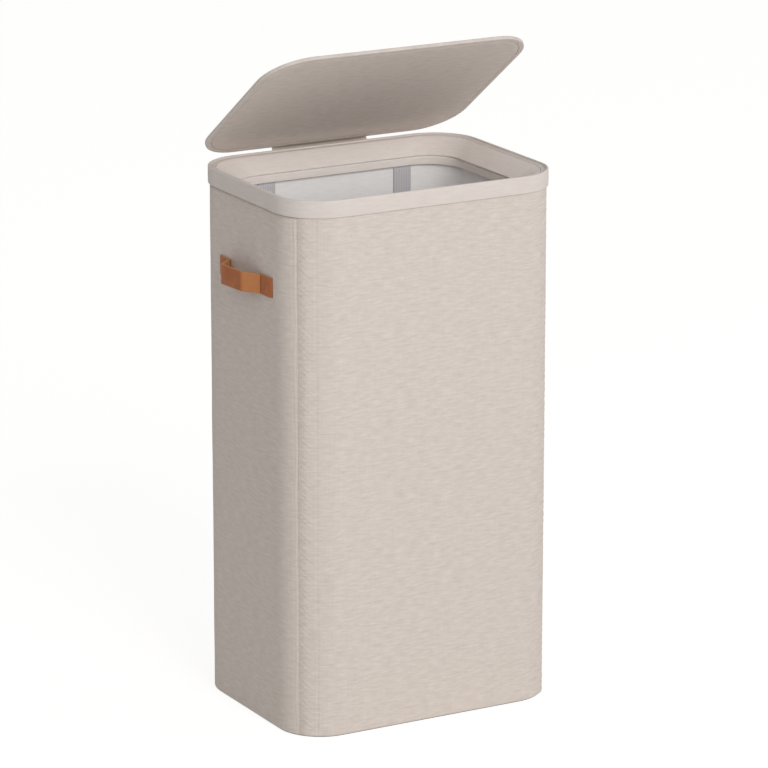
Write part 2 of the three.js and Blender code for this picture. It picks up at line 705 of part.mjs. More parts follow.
// Leaf that rises behind the rim and turns forward over the lid's back edge
function makeLidLeaf() {
  const wallBottom = pivotZ + KNUCKLE_RADIUS + KNUCKLE_GAP;
  const wallHeight = lidLeafTop - wallBottom;
  const wallY = lidLeafOuter - LEAF_THICKNESS / 2;
  const wall = block(HINGE_WIDTH, LEAF_THICKNESS, wallHeight, 0, wallY, wallBottom + wallHeight / 2);
  const plateY = lidLeafOuter - LID_LEAF_REACH / 2;
  const plateZ = lidLeafTop - LEAF_THICKNESS / 2;
  const plate = block(HINGE_WIDTH, LID_LEAF_REACH, LEAF_THICKNESS, 0, plateY, plateZ);
  const stemHeight = wallBottom - pivotZ + LEAF_THICKNESS;
  const stems = knucklesOf(false).map((number) => (
    block(knuckleLength, LEAF_THICKNESS, stemHeight, knuckleX(number), wallY, pivotZ + stemHeight / 2)
  ));
  const barrels = knucklesOf(false).map(knuckle);
  const leaf = joinAndCut([wall, plate, ...stems, ...barrels], [pinBore(), ...lidScrewHoles()]);
  addLidPiece('hinge_lid_leaf', leaf, TAUPE_PLASTIC, 0.5);
}

function makeLidScrews() {
  const seat = lidLeafTop + FIT_GAP;
  screwPlaces.forEach((x, i) => {
    const geometry = screw(seat - lidScrewTip).rotateX(Math.PI / 2);
    geometry.translate(x, lidScrewY, seat);
    addLidPiece(`lid_screw_${i + 1}`, geometry, STEEL, 0.35, 1);
  });
}

makeOuterFabric();
makeBoards();
makeBase();
makeLining();
makeRim(rimScrewHoles());
makeCollarRest();
makeCollar();
makeHoop();
makeBag();
makeDivider();
makeStraps();
makeHandles();
makeRimLeaf();
makePin();
makeRimScrews();
makeLidFabric();
makeLidBoard();
makeLidLining();
makeLidLeaf();
makeLidScrews();

lid.position.set(0, pivotY, pivotZ);
lid.rotation.x = -THREE.MathUtils.degToRad(LID_OPEN_ANGLE);
hamper.add(lid);

export default hamper;
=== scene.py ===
# Fabric laundry hamper with a leather-handled body, a lift-out white liner and a hinged lid.
# Lengths are in metres. X is its width, -Y its front and Z is up.
import json
import math

import bmesh
import bpy
import numpy as np
from mathutils import Matrix, Vector


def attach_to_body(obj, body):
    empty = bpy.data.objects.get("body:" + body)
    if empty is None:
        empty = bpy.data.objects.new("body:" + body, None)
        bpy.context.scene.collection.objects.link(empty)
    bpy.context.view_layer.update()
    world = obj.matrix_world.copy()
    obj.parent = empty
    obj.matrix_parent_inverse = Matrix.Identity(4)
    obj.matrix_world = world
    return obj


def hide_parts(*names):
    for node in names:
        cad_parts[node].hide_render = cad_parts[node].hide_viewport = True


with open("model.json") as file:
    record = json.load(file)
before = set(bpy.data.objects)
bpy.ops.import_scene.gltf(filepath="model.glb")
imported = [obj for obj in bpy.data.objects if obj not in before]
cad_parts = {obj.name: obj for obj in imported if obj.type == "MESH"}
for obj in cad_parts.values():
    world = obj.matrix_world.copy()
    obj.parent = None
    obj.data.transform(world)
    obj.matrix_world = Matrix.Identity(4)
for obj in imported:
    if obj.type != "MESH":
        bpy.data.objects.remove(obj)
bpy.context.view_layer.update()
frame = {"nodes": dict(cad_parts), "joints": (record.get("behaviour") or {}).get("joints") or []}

scene = bpy.context.scene
nodes = frame["nodes"]

# Camera
# It looks at the front and the left side from a long way off and a little from above.
CAMERA_AZIMUTH = math.radians(-29.201)
CAMERA_ELEVATION = math.radians(15.514)
CAMERA_TARGET = (0, 0, 0.330)
CAMERA_RIGHT = 0.0073
CAMERA_UP = 0.0561
CAMERA_DISTANCE = 5.580
PICTURE_WIDTH = 768
FOCAL_PIXELS = 4580.155
SENSOR_WIDTH = 36


def placed(name, data):
    """Object that shows a camera, a lamp or a mesh."""
    thing = bpy.data.objects.new(name, data)
    scene.collection.objects.link(thing)
    return thing


lens = bpy.data.cameras.new("camera")
lens.sensor_width = SENSOR_WIDTH
lens.lens = SENSOR_WIDTH * FOCAL_PIXELS / PICTURE_WIDTH
camera = placed("camera", lens)
turned = Matrix.Rotation(CAMERA_AZIMUTH, 4, "Z")
tilted = Matrix.Rotation(math.pi / 2 - CAMERA_ELEVATION, 4, "X")
drawn_back = Matrix.Translation((CAMERA_RIGHT, CAMERA_UP, CAMERA_DISTANCE))
camera.matrix_world = Matrix.Translation(CAMERA_TARGET) @ turned @ tilted @ drawn_back
scene.camera = camera

# Floor and light
# A pale studio floor that looks white where it is lit and keeps a faint shadow, a large soft lamp
# in front and above, a weaker one on the right, and an even light from all round.
FLOOR_RADIUS = 40
FLOOR_SIDES = 64
FLOOR_DROP = 0.0004
FLOOR_COLOUR = "#F1EFED"
SHADOW_COLOUR = "#84837F"
FLOOR_GLOW = 0.865
STUDIO_WHITE = "#FFFFFF"
ROOM_LIGHT = 0.455
LAMP_COLOUR = "#FFFEFD"
LAMP_AIM = Vector((0, 0, 0.45))
LAMPS = (
    ("front_lamp", Vector((-0.45, -7.00, 3.90)), 4.4, 300),
    ("right_lamp", Vector((7.00, -1.60, 3.20)), 4.0, 50),
)

scene.view_settings.view_transform = "Standard"


def linear(code):
    """Linear colour with alpha of an sRGB hex code."""
    parts = [int(code[i:i + 2], 16) / 255 for i in (1, 3, 5)]
    return [p / 12.92 if p <= 0.04045 else ((p + 0.055) / 1.055) ** 2.4 for p in parts] + [1]


def add_node(tree, kind, inputs=None, **settings):
    """Shader node of a kind, with its settings, and its inputs set, or linked to a socket or to the
    first output of another node."""
    node = tree.nodes.new("ShaderNode" + kind)
    for name, value in settings.items():
        setattr(node, name, value)
    for name, value in (inputs or {}).items():
        if isinstance(value, bpy.types.Node):
            value = value.outputs[0]
        if isinstance(value, bpy.types.NodeSocket):
            tree.links.new(value, node.inputs[name])
        else:
            node.inputs[name].default_value = value
    return node


def mesh_of(name, shape):
    """Mesh with the faces of a shape that was being built."""
    mesh = bpy.data.meshes.new(name)
    shape.to_mesh(mesh)
    shape.free()
    return mesh


def light_and_look(tree, output, lighting, looked_at):
    """Give one shader to the light, and another where the studio is looked at, straight or through
    gloss or glass."""
    path = add_node(tree, "LightPath").outputs
    gloss = add_node(tree, "Math", {
        0: path["Is Glossy Ray"], 1: path["Is Transmission Ray"],
    }, operation="MAXIMUM")
    seen = add_node(tree, "Math", {0: path["Is Camera Ray"], 1: gloss}, operation="MAXIMUM")
    mixed = add_node(tree, "MixShader", {0: seen, 1: lighting, 2: looked_at})
    tree.links.new(mixed.outputs[0], tree.nodes[output].inputs["Surface"])


floor_material = bpy.data.materials.new("studio_floor")
floor_material.use_nodes = True
tree = floor_material.node_tree
matt = add_node(tree, "BsdfDiffuse", {"Color": linear(FLOOR_COLOUR)})
shadow = add_node(tree, "BsdfDiffuse", {"Color": linear(SHADOW_COLOUR)})
glow = add_node(tree, "Emission", {"Color": linear(STUDIO_WHITE), "Strength": FLOOR_GLOW})
lit = add_node(tree, "AddShader", {0: shadow, 1: glow})
light_and_look(tree, "Material Output", matt, lit)

shape = bmesh.new()
bmesh.ops.create_circle(shape, cap_ends=True, segments=FLOOR_SIDES, radius=FLOOR_RADIUS)
floor = placed("floor", mesh_of("floor", shape))
floor.data.materials.append(floor_material)
floor.location.z = -FLOOR_DROP

world = bpy.data.worlds.new("studio")
world.use_nodes = True
tree = world.node_tree
even, white = (add_node(tree, "Background", {
    "Color": linear(STUDIO_WHITE), "Strength": strength,
}) for strength in (ROOM_LIGHT, 1))
light_and_look(tree, "World Output", even, white)
scene.world = world

for name, place, size, power in LAMPS:
    light = bpy.data.lights.new(name, "AREA")
    light.shape = "DISK"
    light.size = size
    light.energy = power
    light.color = linear(LAMP_COLOUR)[:3]
    lamp = placed(name, light)
    lamp.location = place
    lamp.rotation_euler = (LAMP_AIM - place).to_track_quat("-Z", "Y").to_euler()

# Boards of the walls, base and lid, corner formers, rim frame, collar rest and handle backings
# Grey recycled board, 2 to 6 mm thick: flat in the sides, bent in the corners, and cut to a ring
# in the rim. It is all inside the cloth, glued to it.
BOARD_TONES = ("#8C867E", "#A69F95")
BOARD_FIBRE = 0.0020
BOARD_ENDINGS = ("_board", "_former", "_frame", "_rest", "_backing")


def new_material(name, roughness, unrolled=False, ior=1.5, metallic=0, specular=0.5, sheen=0):
    """Material, its tree and its shader, with the even values set on it, and the place that its
    patterns follow: in the piece, or on the unrolled cloth."""
    material = bpy.data.materials.new(name)
    material.use_nodes = True
    tree = material.node_tree
    shader = tree.nodes["Principled BSDF"]
    for socket, value in (
        ("Roughness", roughness), ("IOR", ior), ("Metallic", metallic),
        ("Specular IOR Level", specular), ("Sheen Weight", sheen),
    ):
        shader.inputs[socket].default_value = value
    if unrolled:
        where = add_node(tree, "UVMap", uv_map="cloth")
    else:
        where = add_node(tree, "TexCoord").outputs["Object"]
    return material, tree, shader, where


def tint_and_raise(tree, shader, shade, tones, height=None, strength=0, depth=0):
    """Colour a shader from a dark to a light tone by one pattern, and raise it by another."""
    colour = add_node(tree, "Mix", {
        0: shade, 6: linear(tones[0]), 7: linear(tones[1]),
    }, data_type="RGBA", clamp_factor=True)
    tree.links.new(colour.outputs[2], shader.inputs["Base Color"])
    if height:
        relief = add_node(tree, "Bump", {"Height": height, "Strength": strength, "Distance": depth})
        tree.links.new(relief.outputs[0], shader.inputs["Normal"])


def finish_in(mesh, material):
    """Give a mesh one material in place of what it has."""
    mesh.materials.clear()
    mesh.materials.append(material)


# Pressed paper pulp: matt, with pale and dark fibres.
greyboard, tree, shader, where = new_material("pressed_greyboard", roughness=0.95, specular=0.2)
fibres = add_node(tree, "TexNoise", {"Vector": where, "Scale": 1 / BOARD_FIBRE, "Detail": 4})
tint_and_raise(tree, shader, fibres, BOARD_TONES, fibres, 0.3, BOARD_FIBRE / 10)
for name, node in nodes.items():
    if name.endswith(BOARD_ENDINGS):
        finish_in(node.data, greyboard)

# Base cloth
# Dark spunbond cloth glued under the base board, with its edge turned up inside the body.
# Its heat-bonded dots are 1.2 mm apart.
BODY_WIDTH = 0.360
BODY_DEPTH = 0.270
CORNER_RADIUS = 0.057
OUTER_CLOTH = 0.0012
FIT_GAP = 0.0003
BASE_CLOTH = 0.0012
BASE_EDGE = 0.0005
BASE_BORDER = 0.04
DOT_PITCH = 0.0024
DOT_RIM = (0.15, 0.45)
BASE_TONES = ("#2E2C2B", "#45423F")
MERGE_DISTANCE = 1e-6

# Where the outline's sides and corners begin and end, in eighths round it: the right side, the
# back right corner, and so on counter-clockwise
SIGN_X = (1, 1, 1, -1, -1, -1, -1, 1, 1)
SIGN_Y = (-1, 1, 1, 1, 1, -1, -1, -1, -1)
TURNS = (0, 0, 1, 1, 2, 2, 3, 3, 4)
RING_STATIONS = (20, 40, 26)


def outline(stations, inset, radius, half_x=BODY_WIDTH / 2, half_y=BODY_DEPTH / 2):
    """Points inside a rounded rectangle, at stations from 0 to 8 round it, any number of times."""
    around = np.asarray(stations) % 8
    knots = np.arange(9)
    angle = np.interp(around, knots, TURNS) * math.pi / 2
    x = np.interp(around, knots, SIGN_X) * (half_x - inset - radius) + radius * np.cos(angle)
    y = np.interp(around, knots, SIGN_Y) * (half_y - inset - radius) + radius * np.sin(angle)
    return np.stack([x, y], -1)


def path_lengths(points, closed=False):
    """Lengths along a path up to each of its points, and back to its start if it is closed."""
    points = np.asarray(points, float)
    if closed:
        points = np.concatenate([points, points[:1]])
    return np.concatenate([[0], np.cumsum(np.linalg.norm(np.diff(points, axis=0), axis=1))])


def surface(name, points, unrolled, material, ends="capped"):
    """Closed mesh through rows of points, each row closed on itself. Its end rows are capped, or
    joined to each other, or each is folded shut. The map has each corner's place on flat cloth."""
    rows, columns = points.shape[:2]
    strips = rows if ends == "joined" else rows - 1
    r, c = np.meshgrid(np.arange(strips), np.arange(columns), indexing="ij")
    corner_rows = np.stack([r, r, r + 1, r + 1], -1).reshape(-1, 4)
    corner_columns = np.stack([c, c + 1, c + 1, c], -1).reshape(-1, 4)
    faces = (corner_rows % rows * columns + corner_columns % columns).tolist()
    corners = unrolled[corner_rows, corner_columns].reshape(-1, 2)
    if ends == "capped":
        last = (rows - 1) * columns
        faces += [list(range(columns))[::-1], list(range(last, last + columns))]
        corners = np.concatenate([
            corners, unrolled[0, columns - 1::-1], unrolled[rows - 1, :columns],
        ])
    mesh = bpy.data.meshes.new(name)
    mesh.from_pydata(points.reshape(-1, 3).tolist(), [], faces)
    mesh.uv_layers.new(name="cloth").data.foreach_set("uv", corners.ravel())
    mesh.materials.append(material)
    shape = bmesh.new()
    shape.from_mesh(mesh)
    bmesh.ops.remove_doubles(shape, verts=shape.verts, dist=MERGE_DISTANCE)
    bmesh.ops.recalc_face_normals(shape, faces=shape.faces)
    shape.to_mesh(mesh)
    shape.free()
    mesh.shade_smooth()
    return placed(name, mesh)


def rounded(corners, closed=True, steps=4):
    """Path through corners, each (x, y, radius), with an arc of that radius in it."""
    count = len(corners)
    path = []
    for i, (x, y, radius) in enumerate(corners):
        at = np.array([x, y])
        if radius == 0 or (not closed and i in (0, count - 1)):
            path.append(at)
            continue
        before = np.array(corners[i - 1][:2]) - at
        after = np.array(corners[(i + 1) % count][:2]) - at
        before /= np.linalg.norm(before)
        after /= np.linalg.norm(after)
        half = math.acos(np.clip(before @ after, -1, 1)) / 2
        centre = at + (before + after) / np.linalg.norm(before + after) * radius / math.sin(half)
        start = at + before * radius / math.tan(half) - centre
        end = at + after * radius / math.tan(half) - centre
        sweep = math.pi - 2 * half
        for share in np.linspace(0, 1, steps + 1):
            swung = math.sin((1 - share) * sweep) * start + math.sin(share * sweep) * end
            path.append(centre + swung / math.sin(sweep))
    return np.array(path)


def ring_stations(arc, long, short):
    """Stations once round the outline, from the front of its right side, as many as are given in
    each corner, long side and short side."""
    counts = (short, arc, long, arc) * 2
    return np.concatenate([side + np.arange(count) / count for side, count in enumerate(counts)])


def loops(profile, stations, radius_at, *half_sizes):
    """Rows of loops at (inset, height) points inside an outline. An inset may vary round it."""
    rows = []
    for inset, z in profile:
        flat = outline(stations, inset, radius_at(inset), *half_sizes)
        rows.append(np.column_stack([flat, np.full(len(flat), z)]))
    return np.array(rows)


def body_radius(inset):
    """Corner radius at some depth inside the body's outline."""
    return CORNER_RADIUS - inset


def unroll(row_lengths, loop):
    """Place of each grid corner on the unrolled cloth: round a loop, and up or across the rows."""
    return np.stack(np.meshgrid(path_lengths(loop, closed=True), row_lengths), -1)


def attach(piece, node, body="hamper"):
    """The piece moves with a body and stands for a solid, whose CAD part is hidden."""
    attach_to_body(piece, body)
    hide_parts(node)


# Polypropylene spunbond: dark, slightly waxy, dotted with small bonded pits. The dots are drawn
# at twice their pitch, because the real ones are too fine to show.
spunbond, tree, shader, where = new_material(
    "spunbond_cloth", roughness=0.75, ior=1.49, specular=0.35,
)
dots = add_node(tree, "TexVoronoi", {
    "Vector": where, "Scale": 1 / DOT_PITCH, "Randomness": 0.1,
}, voronoi_dimensions="2D")
pits = add_node(tree, "MapRange", {0: dots, 1: DOT_RIM[0], 2: DOT_RIM[1]})
tint_and_raise(tree, shader, pits, BASE_TONES, pits, 0.6, DOT_PITCH / 8)

board_outer = OUTER_CLOTH + FIT_GAP
border = board_outer + BASE_BORDER
base_profile = rounded([
    (border, 0, 0), (board_outer, 0, BASE_EDGE), (board_outer, BASE_CLOTH, BASE_EDGE),
    (border, BASE_CLOTH, 0),
], closed=False)
base_points = loops(base_profile, ring_stations(*RING_STATIONS), body_radius)
base_map = unroll(path_lengths(base_profile), base_points[0])
base_cloth = surface("base_cloth", base_points, base_map, spunbond)
attach(base_cloth, "base_fabric")

# Body lining
# Thin pale cloth glued to the inside of the boards and over the base board. The liner hides it.
HAMPER_HEIGHT = 0.660
BOARD = 0.0030
LINING = 0.0008
BASE_BOARD = 0.0060
RIM_HEIGHT = 0.0212
LINING_CORNER = 0.003
LINING_STATIONS = (8, 10, 8)
WALL_ROWS = 70
BEND_ROWS = 7
FLOOR_ROWS = 8
LINING_TONES = ("#C6C1BA", "#D8D4CE")
THREAD = 0.0016
SLUB_RELIEF = 1.6
WAVE_LENGTH = math.pi / 10  # of a wave texture at a scale of 1


def woven_cloth(name, tones, slub, contrast, relief, sheen=0.05, thread=THREAD):
    """Plain-woven cloth: thick and thin threads across it, fainter ones up it, and slow patches.
    The real threads are half as wide, and are drawn coarser because they are too fine to show."""
    material, tree, shader, where = new_material(
        name, roughness=0.95, unrolled=True, specular=0.15, sheen=sheen,
    )
    shader.inputs["Sheen Roughness"].default_value = 0.6
    shade, slubs = -contrast / 2, None
    for stretch, detail, weight in (
        ((1 / slub, 0.6 / thread, 1), 3, 0.66),
        ((0.6 / thread, 0.5 / slub, 1), 2, 0.10),
        ((0.8 / slub, 2.5 / slub, 1), 3, 0.24),
    ):
        stretched = add_node(tree, "Mapping", {"Vector": where, "Scale": stretch})
        noise = add_node(tree, "TexNoise", {
            "Vector": stretched, "Scale": 1, "Detail": detail, "Roughness": 0.6,
        }, noise_dimensions="2D")
        shade = add_node(tree, "Math", {
            0: noise, 1: weight * (1 + contrast), 2: shade,
        }, operation="MULTIPLY_ADD")
        slubs = slubs or noise
    warp, weft = (add_node(tree, "TexWave", {
        "Vector": where, "Scale": WAVE_LENGTH / thread, "Distortion": 2, "Detail": 1,
        "Detail Scale": 0.4,
    }, bands_direction=direction).outputs[1] for direction in "XY")
    crossing = add_node(tree, "Math", {0: warp, 1: weft}, operation="MULTIPLY")
    height = add_node(tree, "Math", {
        0: slubs, 1: SLUB_RELIEF, 2: crossing,
    }, operation="MULTIPLY_ADD")
    tint_and_raise(tree, shader, shade, tones, height, relief, thread / 6)
    return material


# Dull polyester lining: pale and even.
lining_cloth = woven_cloth("plain_lining", LINING_TONES, slub=0.01, contrast=1, relief=0.3)


def closing_rows(row, half_spine, count):
    """Rows that close a loop onto the line along its middle."""
    spine = row.copy()
    spine[:, 0] = np.clip(row[:, 0], -half_spine, half_spine)
    spine[:, 1] = 0
    return row + (spine - row) * np.linspace(0, 1, count + 1)[1:, None, None]


def cup(name, material, inset, bottom, cloth, top, corner, radius_at, stations, folds=None):
    """Open cloth shell: a wall with a rounded foot, and a floor. The inset and the bottom are its
    outer face's, and folds moves both of its faces."""
    faces = []
    for inset, bottom in ((inset, bottom), (inset + cloth, bottom + cloth)):
        wall = np.linspace(top, bottom + corner, WALL_ROWS)[:-1]
        bend = [(inset + corner * (1 - math.cos(a)), bottom + corner * (1 - math.sin(a)))
                for a in np.linspace(0, math.pi / 2, BEND_ROWS)]
        rows = loops([(inset, z) for z in wall] + bend, stations, radius_at)
        if folds:
            folds(rows, inset, stations)
        floor_rows = closing_rows(rows[-1], (BODY_WIDTH - BODY_DEPTH) / 2, FLOOR_ROWS)
        faces.append(np.concatenate([rows, floor_rows]))
    outer, inner = faces
    points = np.concatenate([outer[::-1], inner])
    unrolled = unroll(path_lengths(points[:, 0]), inner[0])
    return surface(name, points, unrolled, material, "shut")


board_inner = board_outer + BOARD
lining_outer = board_inner + FIT_GAP
base_board_top = BASE_CLOTH + FIT_GAP + BASE_BOARD
lining_bottom = base_board_top + FIT_GAP
rim_bottom = HAMPER_HEIGHT - RIM_HEIGHT
body_lining = cup(
    "body_lining_cloth", lining_cloth, inset=lining_outer, bottom=lining_bottom, cloth=LINING,
    top=rim_bottom - FIT_GAP, corner=LINING_CORNER, radius_at=body_radius,
    stations=ring_stations(*LINING_STATIONS),
)
attach(body_lining, "body_lining")

# Outer cloth
# Linen-look polyester in four panels, sewn together down each corner and drawn over the boards.
# The seam pulls in and puckers the cloth, its allowance lies under the long panel as a low ridge
# with a pressed crease behind it, and the foot is turned under just above the base cloth.
SEAM_ANGLE = 55
CREASE_ANGLE = 32
SEAM_DEPTH = 0.00095
SEAM_PULL_LONG = 0.0052
SEAM_PULL_SHORT = 0.0070
ROLLED_EDGE_DEPTH = 0.00010
ROLLED_EDGE_WIDTH = 0.0015
RIDGE_RISE = 0.00072
RIDGE_FROM_SEAM = 0.0088
RIDGE_WIDTH = 0.0066
CREASE_DEPTH = 0.00030
CREASE_WIDTH = 0.0014
PUCKER_DEPTH = 0.00115
PUCKER_WIDTH = 0.0085
PUCKER_SLANT = 0.8
PUCKER_LENGTHS = (0.0047, 0.0061, 0.0083)
STREAK_REACH = 0.0120
STREAK_DEPTH = 0.00055
STREAK_LENGTHS = (0.0041, 0.0057)
STREAK_WANDER = 0.0016
GATHER_SHARE = 0.40
GATHER_REACH = 0.035
BILLOW = 0.00015
BILLOW_LENGTHS = (0.083, 0.127, 0.190)
BILLOW_SLANT = 1 / 3
END_FADE = 0.006
LEAST_CLOTH = 0.0002
FOOT_TUCK = 0.0010
FOOT_HEIGHT = 0.0024
FOOT_LIFT = 0.0009
FOOT_STEPS = 6
PANEL_STEP = 0.0060
SEAM_STEP = 0.0009
SEAM_STEPS = 20
CREASE_STEPS = 13
PUCKER_STEP = 0.0015
LINEN_TONES = ("#C9BFB7", "#DED4CC")
LINEN_SLUB = 0.016

# Linen-look polyester: thick and thin heathered threads, matt, with a soft sheen at its edges.
linen = woven_cloth("heathered_linen", LINEN_TONES, slub=LINEN_SLUB, contrast=1, relief=0.45)


def waves(values, lengths, seed):
    """Sum of sine waves of some lengths, each starting anywhere, that stays within one."""
    starts = np.random.default_rng(seed).uniform(0, 2 * math.pi, len(lengths))
    return sum(np.sin(2 * math.pi * values / length + start)
               for length, start in zip(lengths, starts)) / len(lengths)


def ramp(values, length):
    """Rise from nothing to one over a length."""
    return np.clip(values / length, 0, 1)


def bell(values, width):
    """Smooth hump of height one, about nothing at twice its width."""
    return np.exp(-(values / width) ** 2)


def length_at(stations):
    """Lengths round the body's outline up to some stations, and up to each whole station."""
    arc = CORNER_RADIUS * math.pi / 2
    straight_x, straight_y = BODY_WIDTH - 2 * CORNER_RADIUS, BODY_DEPTH - 2 * CORNER_RADIUS
    ends = np.concatenate([[0], np.cumsum([straight_y, arc, straight_x, arc] * 4)])
    return np.interp(stations, np.arange(len(ends)), ends), ends


def cloth_panel(side, first, last, is_long, seed):
    """Panel of a side between two seams, at stations round the body, with a turned foot."""
    (start, end), ends = length_at([first, last])
    start, end = start + FIT_GAP / 4, end - FIT_GAP / 4
    crease = math.radians(SEAM_ANGLE - CREASE_ANGLE) * CORNER_RADIUS
    near = np.concatenate([
        np.linspace(0, SEAM_STEP, 4), np.arange(2, SEAM_STEPS) * SEAM_STEP,
        crease + np.linspace(-3, 3, CREASE_STEPS) * CREASE_WIDTH,
    ])
    middle = np.linspace(near[-1], end - start - near[-1], int((end - start) / PANEL_STEP))
    along = np.unique(np.concatenate([near, middle, end - start - near])) + start
    stations = np.interp(along, ends, np.arange(len(ends)))
    top = rim_bottom - FIT_GAP
    turn = np.linspace(0, math.pi / 2, FOOT_STEPS)
    foot_insets = FOOT_TUCK * (1 - np.sin(turn))
    foot_heights = FOOT_HEIGHT * (1 - np.cos(turn)) + FOOT_LIFT
    step = PUCKER_STEP if is_long else PANEL_STEP
    heights = np.concatenate([foot_heights, np.arange(foot_heights[-1] + step, top, step), [top]])
    s, z = np.meshgrid(along, heights, indexing="ij")
    from_seam = np.minimum(s - start, end - s)
    inset = np.interp(z, foot_heights, foot_insets)
    fade = ramp(top - z, END_FADE) * ramp(z, END_FADE)
    if is_long:
        inset += SEAM_DEPTH * np.exp(-from_seam / SEAM_PULL_LONG)
        inset -= RIDGE_RISE * bell(from_seam - RIDGE_FROM_SEAM, RIDGE_WIDTH)
        inset += CREASE_DEPTH * bell(from_seam - crease, CREASE_WIDTH)
        slant = PUCKER_SLANT * from_seam
        pucker = waves(z + slant, PUCKER_LENGTHS, seed) + waves(z - slant, PUCKER_LENGTHS, seed + 3)
        reach = bell(from_seam - RIDGE_FROM_SEAM, PUCKER_WIDTH)
        inset += PUCKER_DEPTH * pucker / 2 * reach * fade
    else:
        inset += ROLLED_EDGE_DEPTH * bell(from_seam, ROLLED_EDGE_WIDTH)
        inset += (SEAM_DEPTH - ROLLED_EDGE_DEPTH) * np.exp(-from_seam / SEAM_PULL_SHORT)
        wander = STREAK_WANDER * waves(z, BILLOW_LENGTHS, seed + 3)
        swell = GATHER_SHARE + (1 - GATHER_SHARE) * np.exp((z - top) / GATHER_REACH)
        reach = np.exp(-from_seam / STREAK_REACH) * (1 - np.exp(-from_seam / SEAM_STEP))
        streaks = waves(from_seam + wander, STREAK_LENGTHS, seed + 5)
        inset += STREAK_DEPTH * swell * streaks * reach * fade
    billow = waves(s + z * BILLOW_SLANT, BILLOW_LENGTHS, seed + 1)
    billow += waves(z, BILLOW_LENGTHS, seed + 2)
    inset = np.minimum(inset + BILLOW * billow * fade, OUTER_CLOTH - LEAST_CLOTH)
    profile = [*zip(inset.T, heights), (OUTER_CLOTH, top), (OUTER_CLOTH, FOOT_LIFT)]
    points = loops(profile, stations, body_radius).transpose(1, 0, 2)
    up = np.concatenate([heights, [top + OUTER_CLOTH, 2 * top, 2 * top + OUTER_CLOTH]])
    across = np.stack(np.meshgrid(along, up, indexing="ij"), -1)
    panel = surface(f"{side}_panel", points, across, linen)
    attach(panel, f"{side}_fabric")


seam_share = SEAM_ANGLE / 90
cloth_panel("front", 6 - seam_share, 7 + seam_share, True, 11)
cloth_panel("right", 7 + seam_share, 10 - seam_share, False, 21)
cloth_panel("back", 2 - seam_share, 3 + seam_share, True, 31)
cloth_panel("left", 3 + seam_share, 6 - seam_share, False, 41)

# Rim
# Board ring wrapped in a smoother, lighter cloth, which stands a little proud of the body. Its
# low lip goes round the place where the closed lid lies.
RIM_WIDTH = 0.0097
RIM_OVERHANG = 0.0019
RIM_CLOTH = 0.0008
LIP_WIDTH = 0.0031
LIP_HEIGHT = 0.0021
RIM_FOOT_ROUNDING = 0.0010
RIM_ROUNDING = 0.0013
LIP_ROUNDING = 0.0011
LIP_FOOT_ROUNDING = 0.0008
WRAP_ROUNDING = 0.0006
RIM_CROWN = 0.0002
RIM_CROWN_ROUNDING = 0.05
SLOT_MARGIN = 0.0005
SMOOTH_TONES = ("#D2C9C3", "#DFD7D1")

# Fine-woven polyester: the same yarn as the body's, thinner and closer.
fine_weave = {"slub": 0.022, "contrast": 0.7, "relief": 0.25, "thread": 0.0013}
smooth_linen = woven_cloth("fine_linen", SMOOTH_TONES, **fine_weave)


def ring(name, profile, material, radius_at=body_radius):
    """Ring round the body through a closed profile of (inset, height) points."""
    points = loops(profile, ring_stations(*RING_STATIONS), radius_at)
    unrolled = unroll(path_lengths(profile, closed=True), points[0])
    return surface(name, points, unrolled, material, "joined")


shelf_top = HAMPER_HEIGHT - LIP_HEIGHT
lip_inner = LIP_WIDTH - RIM_OVERHANG
rim_inner = RIM_WIDTH - RIM_OVERHANG
slot_outer = board_outer - SLOT_MARGIN
slot_inner = board_inner + SLOT_MARGIN
cloth = RIM_CLOTH
rim_middle = (rim_bottom + HAMPER_HEIGHT) / 2
rim_profile = rounded([
    (slot_outer, rim_bottom, 0), (-RIM_OVERHANG, rim_bottom, RIM_FOOT_ROUNDING),
    (-RIM_OVERHANG - RIM_CROWN, rim_middle, RIM_CROWN_ROUNDING),
    (-RIM_OVERHANG, HAMPER_HEIGHT, RIM_ROUNDING), (lip_inner, HAMPER_HEIGHT, LIP_ROUNDING),
    (lip_inner, shelf_top, LIP_FOOT_ROUNDING), (rim_inner, shelf_top, RIM_ROUNDING),
    (rim_inner, rim_bottom, WRAP_ROUNDING), (slot_inner, rim_bottom, 0),
    (slot_inner, rim_bottom + cloth, 0), (rim_inner - cloth, rim_bottom + cloth, 0),
    (rim_inner - cloth, shelf_top - cloth, WRAP_ROUNDING),
    (lip_inner - cloth, shelf_top - cloth, 0), (lip_inner - cloth, HAMPER_HEIGHT - cloth, 0),
    (cloth - RIM_OVERHANG, HAMPER_HEIGHT - cloth, RIM_ROUNDING - cloth),
    (cloth - RIM_OVERHANG, rim_bottom + cloth, 0), (slot_outer, rim_bottom + cloth, 0),
], steps=5)
rim = ring("rim_band", rim_profile, smooth_linen)
attach(rim, "rim_fabric")

# Leather handles
# Vegetable-tanned strap, 24 mm wide and 3 mm thick, sewn down at both feet and creased where it
# leaves the wall. Its ends are skived thin, and its long cut edges are paler than its dyed face.
HANDLE_HEIGHT = 0.024
HANDLE_THICKNESS = 0.003
HANDLE_BELOW_RIM = 0.1137
HANDLE_FORWARD = 0.003
HANDLE_FROM_CORNER = 0.0115
HANDLE_RISE_FRONT = 0.015
HANDLE_RISE_REAR = 0.019
FOOT_SHARE = 0.61
FRONT_BEND_SHARE = 0.27
REAR_BEND_SHARE = 0.36
HANDLE_EDGE = 0.0005
CUT_EDGE_NORMAL = 0.8
FOOT_BEND = 0.0026
BOW_BEND = 0.0040
SKIVED_LENGTH = 0.0060
SKIVED_THICKNESS = 0.0010
HANDLE_STEP = 0.0020
LEATHER_TONES = ("#A05A35", "#B97C4F")
LEATHER_PATCH = 0.012
